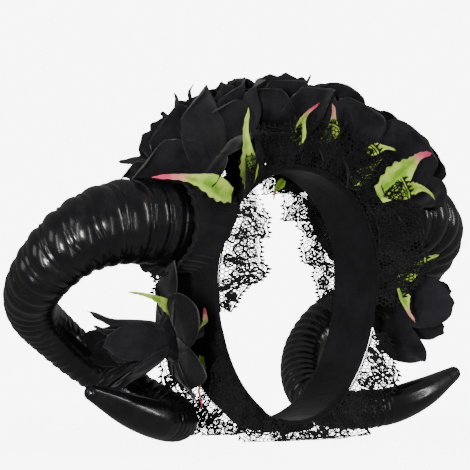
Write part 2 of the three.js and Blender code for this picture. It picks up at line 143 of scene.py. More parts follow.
@dataclass
class MeshBatch:
    """Points and faces that end up in one mesh."""

    points: list[np.ndarray] = field(default_factory=list)
    faces: list[np.ndarray] = field(default_factory=list)
    uvs: list[np.ndarray] = field(default_factory=list)
    count: int = 0

    def add(self, points: np.ndarray, faces: np.ndarray, uvs: np.ndarray | None = None) -> None:
        """Adds a piece of mesh.

        Args:
            points: one row of x, y and z for each vertex.
            faces: one row of vertex numbers for each face.
            uvs: one row of u and v for each vertex.
        """
        points = np.asarray(points, dtype=float).reshape(-1, 3)
        uvs = np.zeros((len(points), 2)) if uvs is None else np.asarray(uvs, dtype=float).reshape(-1, 2)
        self.points.append(points)
        self.faces.append(np.asarray(faces, dtype=np.int64) + self.count)
        self.uvs.append(uvs)
        self.count += len(points)

    def build(self, name: str, drawing: Drawing, material: bpy.types.Material) -> bpy.types.Object:
        """Makes the object.

        Args:
            name: the object's name.
            drawing: the drawing frame that the points are in.
            material: its finish.

        Returns:
            The new object, in the scene.
        """
        points = drawing.to_metres(np.concatenate(self.points))
        uvs = np.concatenate(self.uvs)
        sides = np.concatenate([np.full(len(f), f.shape[1]) for f in self.faces])
        corners = np.concatenate([f.ravel() for f in self.faces])
        mesh = bpy.data.meshes.new(name)
        mesh.vertices.add(len(points))
        mesh.vertices.foreach_set("co", points.ravel())
        mesh.loops.add(len(corners))
        mesh.loops.foreach_set("vertex_index", corners)
        mesh.polygons.add(len(sides))
        mesh.polygons.foreach_set("loop_start", np.concatenate([[0], np.cumsum(sides)[:-1]]))
        mesh.polygons.foreach_set("use_smooth", np.ones(len(sides), dtype=bool))
        layer = mesh.uv_layers.new(name="UVMap")
        layer.data.foreach_set("uv", uvs[corners].ravel())
        mesh.update()
        mesh.validate()
        mesh.materials.append(material)
        made = bpy.data.objects.new(name, mesh)
        bpy.context.scene.collection.objects.link(made)
        return made


def grid_area(grid: np.ndarray) -> float:
    """The area of the quads between the rows and columns of a grid of points."""
    corner, down, over = grid[:-1, :-1], grid[1:, :-1], grid[:-1, 1:]
    far = grid[1:, 1:]
    first = np.linalg.norm(np.cross(down - corner, over - corner), axis=-1)
    second = np.linalg.norm(np.cross(down - far, over - far), axis=-1)
    return float((first + second).sum() / 2)


def declare_cloth(made: bpy.types.Object, cut: tuple[float, float], area: float, held: Held) -> None:
    """Says what flat cut a piece of cloth on the band is made from.

    Args:
        made: the piece.
        cut: the two sides of the cut, in millimetres. The first is widened where the area asks for it.
        area: the area of the cloth, in square millimetres.
        held: how it keeps its form; not used.
    """
    first, second = max(cut[0], NARROWEST_CUT, area / cut[1]), cut[1]
    flat = (first * MM, second * MM)
    share = min(max(area / (first * second), LEAST_COVER), 1.0)
    share * flat[0] * flat[1]
    LOG.info("%s: cut %.0f by %.0f mm, %.0f cm2", made.name, first, second, area / 100)


def grid_faces(rows: int, columns: int, wrap: bool = False, loop: bool = False) -> np.ndarray:
    """Quads over a grid of points, row by row.

    Args:
        rows: how many rows of points there are.
        columns: how many points there are in a row.
        wrap: whether each row closes on itself.
        loop: whether the last row joins the first.

    Returns:
        One row of four vertex numbers for each quad.
    """
    steps = np.arange(rows if loop else rows - 1), np.arange(columns if wrap else columns - 1)
    i, j = np.meshgrid(*steps, indexing="ij")
    near, far, k = i * columns, (i + 1) % rows * columns, (j + 1) % columns
    return np.stack([near + j, far + j, far + k, near + k], -1).reshape(-1, 4)


def closed_sheet(batch: MeshBatch, grid: np.ndarray, wall: float, thin: float = 0.35) -> None:
    """Adds a cloth sheet with a real thickness over a grid of points.

    The upper side has u from 0 to 1 and the under side from 2 to 3, so that a finish can tell them apart.

    Args:
        batch: the mesh that the sheet goes into.
        grid: the middle of the sheet, an array of rows, columns and coordinates.
        wall: the thickness away from the edges.
        thin: the share of the thickness that is left at the edges.
    """
    rows, columns = grid.shape[:2]
    normal = unit(np.cross(np.gradient(grid, axis=0), np.gradient(grid, axis=1)))
    u, v = np.meshgrid(np.linspace(0, 1, rows), np.linspace(0, 1, columns), indexing="ij")
    rim = np.minimum(np.minimum(u, 1 - u) * rows, np.minimum(v, 1 - v) * columns)
    half = (wall / 2) * (thin + (1 - thin) * smoothstep(rim, 0, 1.5))[..., None]
    upper, under = (grid + normal * half).reshape(-1, 3), (grid - normal * half).reshape(-1, 3)
    faces = grid_faces(rows, columns)
    number = np.arange(rows * columns).reshape(rows, columns)
    edge = np.concatenate([number[:, 0], number[-1, 1:], number[-2::-1, -1], number[0, -2::-1]])
    rim_quads = np.stack([edge[:-1], edge[:-1] + rows * columns, edge[1:] + rows * columns, edge[1:]], -1)
    uv = np.stack([u, v], -1).reshape(-1, 2)
    batch.add(
        np.concatenate([upper, under]),
        np.concatenate([faces, faces[:, ::-1] + rows * columns, rim_quads[:, ::-1]]),
        np.concatenate([uv, uv + [2, 0]]),
    )


def closed_tube(batch: MeshBatch, rings: np.ndarray, uv: np.ndarray | None = None) -> None:
    """Adds a closed tube through rings of points, capped by a fan at each end.

    Args:
        batch: the mesh that the tube goes into.
        rings: an array of rings, points round each ring and coordinates.
        uv: u and v of each point of the rings.
    """
    count, sides = rings.shape[:2]
    ends = np.stack([rings[0].mean(0), rings[-1].mean(0)])
    points = np.concatenate([rings.reshape(-1, 3), ends])
    around = np.arange(sides)
    after = (around + 1) % sides
    last = (count - 1) * sides
    caps = [
        np.stack([np.full(sides, count * sides), around, after], -1),
        np.stack([np.full(sides, count * sides + 1), last + after, last + around], -1),
    ]
    uvs = np.zeros((count * sides, 2)) if uv is None else uv.reshape(-1, 2)
    start = batch.count
    faces = grid_faces(count, sides, wrap=True)[:, ::-1]
    batch.add(points, faces, np.concatenate([uvs, uvs[:1], uvs[-1:]]))
    for cap in caps:
        batch.faces.append(cap[:, ::-1] + start)


class Value:
    """A shader value in a Python expression: each operator adds its Math node."""

    def __init__(self, shade: Shade, socket: bpy.types.NodeSocket) -> None:
        """Wraps an output socket of a node of the shade."""
        self.shade = shade
        self.socket = socket

    def _math(self, operation: str, first: Operand, second: Operand) -> Value:
        """The result of a Math node."""
        return self.shade.node("ShaderNodeMath", {"operation": operation}, {0: first, 1: second})

    def __add__(self, other: Operand) -> Value:
        """self + other."""
        return self._math("ADD", self, other)

    def __radd__(self, other: Operand) -> Value:
        """other + self."""
        return self._math("ADD", other, self)

    def __sub__(self, other: Operand) -> Value:
        """self - other."""
        return self._math("SUBTRACT", self, other)

    def __rsub__(self, other: Operand) -> Value:
        """other - self."""
        return self._math("SUBTRACT", other, self)

    def __mul__(self, other: Operand) -> Value:
        """self * other."""
        return self._math("MULTIPLY", self, other)

    def __rmul__(self, other: Operand) -> Value:
        """other * self."""
        return self._math("MULTIPLY", other, self)

    def __truediv__(self, other: Operand) -> Value:
        """self / other."""
        return self._math("DIVIDE", self, other)

    def __pow__(self, other: Operand) -> Value:
        """self ** other."""
        return self._math("POWER", self, other)

    def above(self, edge: float, soft: float) -> Value:
        """A soft mask, 0 below edge - soft and 1 above edge + soft."""
        settings = {"interpolation_type": "SMOOTHSTEP"}
        inputs = {"Value": self, "From Min": edge - soft, "From Max": edge + soft}
        return self.shade.node("ShaderNodeMapRange", settings, inputs)

    def sine(self) -> Value:
        """The sine of the value."""
        return self.shade.node("ShaderNodeMath", {"operation": "SINE"}, {0: self})

    def fraction(self) -> Value:
        """What is left of the value above the whole number below it."""
        return self.shade.node("ShaderNodeMath", {"operation": "FRACT"}, {0: self})


Operand = Value | float
Colour = tuple[float, float, float]


class Shade:
    """A node material around one Principled shader."""

    def __init__(self, name: str) -> None:
        """Starts an empty material with that name."""
        self.material = bpy.data.materials.new(name)
        self.material.use_nodes = True
        self.tree = self.material.node_tree
        self.principled = next(n for n in self.tree.nodes if n.type == "BSDF_PRINCIPLED")

    def node(
        self, kind: str, settings: dict[str, str] | None = None,
        inputs: dict[int | str, Operand | Colour] | None = None, output: int | str = 0,
    ) -> Value:
        """Adds a node.

        Args:
            kind: the node's type.
            settings: its settings, such as an operation.
            inputs: values or links by the name or number of the socket.
            output: the name or number of the output that is used.

        Returns:
            The output, for use in an expression.
        """
        made = self.tree.nodes.new(kind)
        for key, value in (settings or {}).items():
            setattr(made, key, value)
        for key, value in (inputs or {}).items():
            self._feed(made.inputs[key], value)
        return Value(self, made.outputs[output])

    def _feed(self, socket: bpy.types.NodeSocket, value: Operand | Colour) -> None:
        """Links a value to a socket, or sets the socket's own number or colour."""
        if isinstance(value, Value):
            self.tree.links.new(value.socket, socket)
        elif isinstance(value, tuple) and len(socket.default_value) == 4:
            socket.default_value = (*value, 1.0)
        else:
            socket.default_value = value

    def uv(self) -> tuple[Value, Value]:
        """The two UV coordinates."""
        return self.split(self.node("ShaderNodeUVMap", {"uv_map": "UVMap"}))

    def split(self, vector: Value) -> tuple[Value, Value]:
        """The first two parts of a vector."""
        parts = self.node("ShaderNodeSeparateXYZ", inputs={0: vector})
        return parts, Value(self, parts.socket.node.outputs[1])

    def place(self) -> Value:
        """The place on the object, in metres."""
        return self.node("ShaderNodeTexCoord", output="Object")

    def stretched(self, across: Operand, along: Operand) -> Value:
        """A texture vector from two coordinates."""
        return self.node("ShaderNodeCombineXYZ", inputs={0: across, 1: along})

    def noise(self, where: Value, scale: float, detail: float = 2.0, rough: float = 0.5) -> Value:
        """Noise from 0 to 1 at a scale in repeats for each unit."""
        inputs = {"Vector": where, "Scale": scale, "Detail": detail, "Roughness": rough}
        return self.node("ShaderNodeTexNoise", None, inputs)

    def blend(self, mask: Operand, first: Value | Colour, second: Value | Colour) -> Value:
        """The colour that goes from first to second as the mask goes from 0 to 1."""
        made = self.node("ShaderNodeMix", {"data_type": "RGBA"}).socket.node
        inputs = [s for s in made.inputs if s.enabled]
        for socket, value in zip(inputs, (mask, first, second)):
            self._feed(socket, value)
        return Value(self, next(s for s in made.outputs if s.enabled))

    def bump(self, height: Value, depth: float, strength: float = 1.0, below: Value | None = None) -> Value:
        """A normal that is raised by a height, depth metres high.

        Args:
            height: the height from 0 to 1.
            depth: how high 1 is, in metres.
            strength: how much of it shows.
            below: the normal of a coarser bump under it.

        Returns:
            The normal.
        """
        inputs = {"Height": height, "Distance": depth, "Strength": strength}
        if below is not None:
            inputs["Normal"] = below
        return self.node("ShaderNodeBump", None, inputs)

    def finish(self, **sockets: Operand | Colour) -> bpy.types.Material:
        """Sets the Principled shader's sockets, named with _ for spaces, and gives the material."""
        for name, value in sockets.items():
            self._feed(self.principled.inputs[name.replace("_", " ").title().replace("Ior", "IOR")], value)
        return self.material


@dataclass(frozen=True)
class HornGloss:
    """Black moulded horn under a clear gloss, with fine growth lines round it and a little dust.

    Depths are in metres, scales in repeats for each metre and the pitch of the lines in millimetres.
    """

    dark: Colour = (0.004, 0.004, 0.005)
    worn: Colour = (0.012, 0.0115, 0.013)
    line_pitch: float = 0.45
    line_depth: float = 0.00006
    dust_depth: float = 0.00004
    drift_scale: float = 90.0
    smear_scale: float = 300.0
    dust_scale: float = 1400.0
    roughness: float = 0.15
    coat: float = 0.35

    def build(self) -> bpy.types.Material:
        """The material. Its u runs once round the horn, and v is the length in millimetres."""
        shade = Shade("horn_gloss")
        _, along = shade.uv()
        place = shade.place()
        drift = shade.noise(place, self.drift_scale, 3)
        lines = shade.noise(shade.stretched(drift * 6.0, along / self.line_pitch), 1.0, 4, 0.65)
        smear = shade.noise(place, self.smear_scale, 3, 0.6)
        dust = shade.noise(place, self.dust_scale, 4, 0.7)
        worn = (drift * 0.5 + lines * 0.35 + smear * 0.25).above(0.62, 0.14)
        growth = shade.bump(lines, self.line_depth, 0.25)
        return shade.finish(
            base_color=shade.blend(worn, self.dark, self.worn),
            roughness=self.roughness + 0.12 * worn + 0.05 * dust + 0.05 * smear,
            normal=shade.bump(smear * 0.8 + dust * 0.2, self.dust_depth, 0.2, growth),
            coat_weight=self.coat, coat_roughness=0.08, specular_ior_level=0.55,
        )


@dataclass(frozen=True)
class WovenCloth:
    """A matte black cloth: petals and ribbon share it, with their own tones and weave.

    Depths are in metres and scales in repeats for each metre. rib is how close ribs lie along v, or 0.
    """

    name: str
    dark: Colour
    light: Colour
    weave_scale: float
    weave_depth: float
    sheen: float
    rib: float = 0.0
    tone_scale: float = 70.0
    mottle_scale: float = 420.0
    crease_depth: float = 0.0007

    def build(self) -> bpy.types.Material:
        """The material. The lighter tone comes at random, and the upper side of a sheet (u below 1.5) takes
        more of it towards higher v as a painted highlight.
        """
        shade = Shade(self.name)
        u, v = shade.uv()
        place = shade.place()
        tone = shade.noise(place, self.tone_scale, 3, 0.55)
        mottle = shade.noise(place, self.mottle_scale, 3, 0.6)
        grain = shade.noise(place, self.weave_scale, 2, 0.7)
        # Painted highlight: the upper side of a sheet is painted lighter as v grows, on top of the lighter
        # tone that comes at random.
        upper = 1 - u.above(1.5, 0.1)
        light = (tone * 0.9 + mottle * 0.3 + upper * v * 0.35 - 0.42).above(0.35, 0.3)
        height = grain
        if self.rib:
            height = grain * 0.5 + (v * self.rib).sine() * 0.25 + 0.25
        crease = shade.bump(mottle, self.crease_depth, 0.35)
        return shade.finish(
            base_color=shade.blend(light, self.dark, self.light),
            roughness=0.78 + 0.16 * grain,
            normal=shade.bump(height, self.weave_depth, 0.8, crease),
            sheen_weight=self.sheen, sheen_roughness=0.45, specular_ior_level=0.16,
        )


class Tint(Enum):
    """The colour that a sepal turns to at its tip."""

    PINK = (0.95, 0.08, 0.2)
    PEACH = (1.0, 0.4, 0.28)
    GREEN = (0.62, 0.85, 0.12)
    RED = (0.7, 0.015, 0.09)


@dataclass(frozen=True)
class SepalCloth:
    """Sepal cloth: printed yellow-green and veined at the base, then a blush, then its tint at the tip;
    painted shade darkens the green along the folded middle, and the edges are paler.

    turn and flush are the shares of the length where the blush and the tint come in.
    """

    tint: Tint
    green: Colour = (0.2, 0.46, 0.015)
    pale: Colour = (0.66, 0.92, 0.13)
    turn: float = 0.62
    flush: float = 0.78
    drift_scale: float = 160.0
    grain_scale: float = 2600.0
    grain_depth: float = 0.0002

    def build(self) -> bpy.types.Material:
        """The material. Its v runs from the base to the tip."""
        shade = Shade(f"sepal_{self.tint.name.lower()}")
        u, v = shade.uv()
        place = shade.place()
        drift = shade.noise(place, self.drift_scale, 3)
        grain = shade.noise(place, self.grain_scale, 2, 0.7)
        across = u.fraction() - 0.5
        edge = (across * across) ** 0.5
        vein = (across * 70.0 + drift * 9.0).sine() * 0.5 + 0.5
        # Painted shade: the green is darker along the folded middle and paler towards the edges, over a
        # random drift.
        mottle = (drift * 0.9 + edge * 0.8 + vein * 0.14).above(0.68, 0.26)
        green = shade.blend(mottle, self.green, self.pale)
        blush = Tint.GREEN if self.tint is Tint.GREEN else Tint.PEACH
        run = v + drift * 0.3 - 0.15
        tip = shade.blend(run.above(self.flush, 0.08), blush.value, self.tint.value)
        return shade.finish(
            base_color=shade.blend(run.above(self.turn, 0.1), green, tip),
            roughness=0.62 + 0.2 * grain,
            normal=shade.bump(grain * 0.4 + vein * 0.6, self.grain_depth, 0.55),
            sheen_weight=0.15, specular_ior_level=0.3, subsurface_weight=0.12, subsurface_scale=0.002,
        )


@dataclass(frozen=True)
class LaceThread:
    """Twisted black thread of the lace."""

    dark: Colour = (0.003, 0.003, 0.0036)
    light: Colour = (0.011, 0.0105, 0.0125)
    twist_scale: float = 1900.0
    twist_depth: float = 0.0001
    tone_scale: float = 150.0

    def build(self) -> bpy.types.Material:
        """The material."""
        shade = Shade("lace_thread")
        place = shade.place()
        twist = shade.noise(place, self.twist_scale, 2, 0.6)
        tone = shade.noise(place, self.tone_scale, 2)
        return shade.finish(
            base_color=shade.blend((tone * 0.6 + twist * 0.5).above(0.55, 0.25), self.dark, self.light),
            roughness=0.7 + 0.2 * twist,
            normal=shade.bump(twist, self.twist_depth, 0.6),
            sheen_weight=0.05, sheen_roughness=0.4, specular_ior_level=0.2,
        )


@dataclass(frozen=True)
class StudioPaper:
    """Plain white studio paper, reach metres round, that fades out between two shares of its reach."""

    reach: float = 0.34
    fade_from: float = 0.46
    fade_to: float = 0.98
    glow: float = 7.0

    def build(self) -> bpy.types.Material:
        """The material."""
        shade = Shade("studio_paper")
        place = shade.place()
        x, y = shade.split(place)
        far = (x * x + y * y) ** 0.5
        middle, half = (self.fade_to + self.fade_from) / 2, (self.fade_to - self.fade_from) / 2
        return shade.finish(
            base_color=shade.blend(shade.noise(place, 60, 2), (0.86, 0.86, 0.86), (0.9, 0.9, 0.9)),
            roughness=0.95, specular_ior_level=0.0,
            emission_color=(1.0, 1.0, 1.0), emission_strength=self.glow,
            alpha=1 - far.above(self.reach * middle, self.reach * half),
        )


@dataclass(frozen=True)
class Hoop:
    """The hair hoop: its middle line, which everything is placed on."""

    half_width: float = 66.0
    above: float = 64.0
    centre_height: float = 92.0
    band_width: float = 33.0
    band_wall: float = 3.2
    seat_gap: float = 0.3

    @property
    def below(self) -> float:
        """From the hoop's centre to the bottom of its middle line, above the end that laps under it."""
        return self.centre_height - 2.5 * self.band_wall - 2 * self.seat_gap

    def at(self, degrees: np.ndarray | float) -> tuple[np.ndarray, np.ndarray]:
        """Points of the middle line and the ways out from them.

        Args:
            degrees: angles from the top towards +X.

        Returns:
            The points and the unit vectors, one row for each angle.
        """
        a = np.radians(np.asarray(degrees, dtype=float))
        height = np.where(np.cos(a) > 0, self.above, self.below)
        zero = np.zeros_like(a)
        point = np.stack([self.half_width * np.sin(a), zero, self.centre_height + height * np.cos(a)], -1)
        out = unit(np.stack([height * np.sin(a), zero, self.half_width * np.cos(a)], -1))
        return point, out

    def over(self, degrees: float, rise: float, ahead: float) -> np.ndarray:
        """A place at a height above the band's outer face and a distance ahead of its middle."""
        point, out = self.at(degrees)
        return point + out * (self.band_wall / 2 + rise) - Y_AXIS * ahead


@dataclass
class Band:
    """The ribbon-wrapped hoop, whose right end laps under its left end at the bottom.

    wrap_slant is how many turns the ribbon slants over half the width. inner_share is how much of the
    ridges is left on the inside.
    """

    hoop: Hoop
    end_lap: float = 11.0
    lap_ramp: float = 18.0
    steps: int = 420
    roll: float = 1.3
    wraps: int = 34
    wrap_slant: float = 0.55
    wrap_ridge: float = 0.42
    inner_share: float = 0.3
    wrinkle: float = 0.11

    def build(self, drawing: Drawing, material: bpy.types.Material) -> bpy.types.Object:
        """Makes the band with rounded edges, wrap ridges and soft wrinkles in the ribbon."""
        reach = 180 + self.end_lap
        degrees = np.linspace(-reach, reach, self.steps)
        point, out = self.hoop.at(degrees)
        lap = smoothstep(-degrees, 180 - self.end_lap - self.lap_ramp, 180 - self.end_lap)
        point = point + out * (lap * (self.hoop.band_wall + self.hoop.seat_gap))[:, None]
        section = self._section()
        rings = point[:, None] + section[None, :, :1] * Y_AXIS + section[None, :, 1:] * out[:, None]
        rings = rings + self._relief(degrees[:, None], section)[..., None] * out[:, None]
        length = np.radians(degrees) * self.hoop.half_width * 0.01
        around = np.linspace(0, 0.7, len(section), endpoint=False)
        uv = np.stack(np.broadcast_arrays(length[:, None], around[None]), -1)
        batch = MeshBatch()
        closed_tube(batch, rings, uv)
        return batch.build(RIBBON, drawing, material)

    def _relief(self, degrees: np.ndarray, section: np.ndarray) -> np.ndarray:
        """How far the ribbon stands out, with a row for each angle and a column for each section point."""
        y_share = section[:, 0] / (self.hoop.band_width / 2)
        side = np.sign(section[:, 1])
        wrap = self._wrap(degrees / 360 * self.wraps + self.wrap_slant * y_share * side)
        soft = np.sin(degrees * 0.21 + 2.0 * y_share) * np.sin(3.1 * y_share + 1)
        ridge = self.wrap_ridge * np.where(side < 0, self.inner_share, 1.0)
        return (wrap * ridge + self.wrinkle * soft) * side * (1 - 0.6 * np.abs(y_share) ** 6)

    def _section(self) -> np.ndarray:
        """The rounded section of the band: front-back place and height, in order round it."""
        half, wall = self.hoop.band_width / 2, self.hoop.band_wall / 2
        turn = np.linspace(0, math.pi, 9)
        flat = np.linspace(half - self.roll, -half + self.roll, 22)[1:-1]
        right = np.stack([half - self.roll + self.roll * np.sin(turn), wall * -np.cos(turn)], -1)
        left = np.stack([-half + self.roll - self.roll * np.sin(turn), wall * np.cos(turn)], -1)
        top = np.stack([flat, np.full_like(flat, wall)], -1)
        bottom = np.stack([flat[::-1], np.full_like(flat, -wall)], -1)
        return np.concatenate([right, top, left, bottom])

    @staticmethod
    def _wrap(turns: np.ndarray) -> np.ndarray:
        """The height of the ribbon's overlapping turns: a slow rise, then a soft drop."""
        share = turns - np.floor(turns)
        return share * (1 - smoothstep(share, 0.86, 1.0))


HORN_PATH = np.array([
    # out, back, up and thick: shares of the reach, depth, root height and root radius
    [-0.16, 0.05, 1.0, 1.0],
    [0.27, 0.08, 1.03, 1.0],
    [0.66, 0.09, 1.03, 0.98],
    [0.93, 0.24, 0.94, 0.86],
    [1.0, 0.54, 0.77, 0.71],
    [0.82, 0.86, 0.63, 0.61],
    [0.52, 1.0, 0.5, 0.57],
    [0.25, 0.92, 0.35, 0.54],
    [0.02, 0.62, 0.2, 0.52],
    [-0.02, 0.26, 0.11, 0.5],
    [0.28, 0.03, 0.11, 0.46],
    [0.62, -0.03, 0.17, 0.38],
    [0.95, -0.03, 0.26, 0.18],
])


@dataclass
class Horns:
    """The pair of curled horns, with rounded ridges parted by narrow double grooves.

    The ridges keep clear of smooth_root and smooth_tip at the ends. ridge_share is their height as a share
    of the radius, groove_share the share of the pitch that a groove takes, and bead the height of the
    small ridge inside a groove.
    """

    hoop: Hoop
    reach: float = 88.0
    depth: float = 70.0
    root_height: float = 122.0
    root_radius: float = 24.5
    smooth_root: float = 34.0
    smooth_tip: float = 62.0
    ridge_pitch: float = 13.2
    ridge_taper: float = 1.25
    ridge_share: float = 0.085
    groove_share: float = 0.2
    bead: float = 0.62
    slant: float = 0.16
    waver: float = 0.05
    dent: float = 0.006
    step: float = 0.7
    sides: int = 72

    def __post_init__(self) -> None:
        """Works out the middle line once."""
        self.length, self.point, self.radius, self.along, self.side, self.up, self.inward = self._line()

    def _line(self) -> tuple[np.ndarray, ...]:
        """Even stations of the left horn: length, point, radius and a frame that doesn't twist."""
        scale = [self.reach, self.depth, self.root_height, self.root_radius]
        rows = HORN_PATH * scale + [self.hoop.half_width, 0, 0, 0]
        rows = np.concatenate([[2 * rows[0] - rows[1]], rows, [2 * rows[-1] - rows[-2]]])
        t = np.linspace(0, len(HORN_PATH) - 1, 2401)
        k = np.minimum(t.astype(int), len(HORN_PATH) - 2)
        f = (t - k)[:, None]
        p0, p1, p2, p3 = rows[k], rows[k + 1], rows[k + 2], rows[k + 3]
        slope, bend, swing = p2 - p0, 2 * p0 - 5 * p1 + 4 * p2 - p3, 3 * p1 - p0 - 3 * p2 + p3
        curve = 0.5 * (2 * p1 + slope * f + bend * f**2 + swing * f**3)
        run = np.concatenate([[0], np.cumsum(np.linalg.norm(np.diff(curve[:, :3], axis=0), axis=1))])
        length = np.linspace(0, run[-1], int(run[-1] / self.step))
        even = np.stack([np.interp(length, run, column) for column in curve.T], -1)
        even = self._soften(even)
        point, radius = even[:, :3], even[:, 3]
        along = unit(np.gradient(point, axis=0))
        point[:, 2] -= (point[:, 2] - radius * np.sqrt(1 - along[:, 2] ** 2)).min()
        side, sides = Y_AXIS.copy(), []
        for direction in along:
            side = unit(side - direction * side.dot(direction))
            sides.append(side)
        side = np.array(sides)
        inward = unit(self._soften(np.gradient(along, axis=0), 40))
        return length, point, radius, along, side, np.cross(along, side), inward

    @staticmethod
    def _soften(rows: np.ndarray, reach: int = 12) -> np.ndarray:
        """Rows smoothed over their neighbours, with the first and last rows kept."""
        before = 2 * rows[0] - rows[reach:0:-1]
        after = 2 * rows[-1] - rows[-2:-reach - 2:-1]
        return smoothed(rows, before, after)

    def relief(self, angle: np.ndarray) -> np.ndarray:
        """How far the surface lies from the plain radius, at each station and angle."""
        share = (self.length / self.length[-1])[:, None]
        pitch = self.ridge_pitch * (self.radius / self.root_radius) ** self.ridge_taper
        count = np.cumsum(self.step / pitch)
        first = np.interp(self.smooth_root, self.length, count)
        count = count[:, None]
        slant = self.slant * np.sin(angle + 0.8) + self.waver * np.sin(3 * angle + 9 * share)
        turns = count - first + slant + self.waver * np.sin(count * 1.7)
        part = turns - np.floor(turns)
        groove = self.groove_share * (0.75 + 0.35 * np.sin(angle - 0.4))
        crest = np.sin(math.pi * np.clip((part - groove) / (1 - groove), 0, 1)) ** 0.8
        bead = self.bead * np.sin(math.pi * np.clip(part / groove, 0, 1)) ** 0.7
        ridge = np.where(part < groove, bead, crest) - 1
        uneven = 0.92 + 0.08 * np.sin(count * 2.3 + 1) + 0.04 * np.sin(3 * angle + 2 * count)
        ridge = self.ridge_share * ridge * self._strength(angle, share) * uneven
        return self.radius[:, None] * (ridge + self.dent * np.sin(2 * angle + 4 * share))

    def _strength(self, angle: np.ndarray, share: np.ndarray) -> np.ndarray:
        """How strong the ridges are: they fade at both ends and along the inside of the curl."""
        left = self.length[-1] - self.length
        strong = smoothstep(self.length, self.smooth_root - 2, self.smooth_root + 8)
        strong = strong * smoothstep(left, self.smooth_tip - 8, self.smooth_tip + 4)
        inner = (self.side * self.inward).sum(1)[:, None] * np.cos(angle)
        inner = inner + (self.up * self.inward).sum(1)[:, None] * np.sin(angle)
        strip = smoothstep(inner, 0.55, 0.93) * smoothstep(share, 0.2, 0.4)
        return strong[:, None] * (1 - 0.9 * strip)

    def build(self, hand: Hand, drawing: Drawing, material: bpy.types.Material) -> bpy.types.Object:
        """Makes one horn.

        Args:
            hand: which of the two.
            drawing: the drawing frame.
            material: the gloss.

        Returns:
            The horn.
        """
        angle = np.linspace(0, 2 * math.pi, self.sides, endpoint=False)[None]
        radius = self.radius[:, None] + self.relief(angle)
        rings = self._rings(self.point, self.side, self.up, radius, angle)
        rings = np.concatenate([rings, self._tip(angle)])
        rings = self.outside_hoop(rings) * hand.mirror
        rows = np.arange(len(rings)) * self.step
        uv = np.stack(np.broadcast_arrays(angle / (2 * math.pi), rows[:, None]), -1)
        batch = MeshBatch()
        closed_tube(batch, rings if hand is Hand.LEFT else rings[:, ::-1], uv)
        return batch.build(f"horn_{hand.side}_gloss", drawing, material)

    @staticmethod
    def _rings(
        point: np.ndarray, side: np.ndarray, up: np.ndarray, radius: np.ndarray, angle: np.ndarray
    ) -> np.ndarray:
        """Points round each station at the given radii and angles."""
        across = side[:, None] * np.cos(angle)[..., None] + up[:, None] * np.sin(angle)[..., None]
        return point[:, None] + across * radius[..., None]

    def _tip(self, angle: np.ndarray) -> np.ndarray:
        """Rings of the blunt round tip."""
        turn = np.linspace(0, math.pi / 2, 10)[1:-1]
        radius = self.radius[-1] * np.cos(turn)
        ahead = self.radius[-1] * np.sin(turn)
        point = self.point[-1] + self.along[-1] * ahead[:, None]
        count = len(turn)
        side, up = np.repeat(self.side[-1:], count, 0), np.repeat(self.up[-1:], count, 0)
        return self._rings(point, side, up, np.repeat(radius[:, None], self.sides, 1), angle)

    def outside_hoop(self, rings: np.ndarray) -> np.ndarray:
        """Rings with the root's points moved out to the band's outer face."""
        face = self.hoop.band_wall / 2 + self.hoop.seat_gap
        x, z = rings[..., 0], rings[..., 2] - self.hoop.centre_height
        high = np.where(z > 0, self.hoop.above, self.hoop.below) + face
        wide = self.hoop.half_width + face
        inside = (x / wide) ** 2 + (z / high) ** 2 < 1
        edge = wide * np.sqrt(np.clip(1 - (z / high) ** 2, 0, 1))
        moved = rings.copy()
        moved[..., 0] = np.where(inside & (x > 0), edge, x)
        return moved

    def station(self, length: float) -> tuple[np.ndarray, np.ndarray, np.ndarray]:
        """The point and the two directions across at a length from the root."""
        k = min(int(length / self.step), len(self.length) - 1)
        return self.point[k], self.side[k], self.up[k]


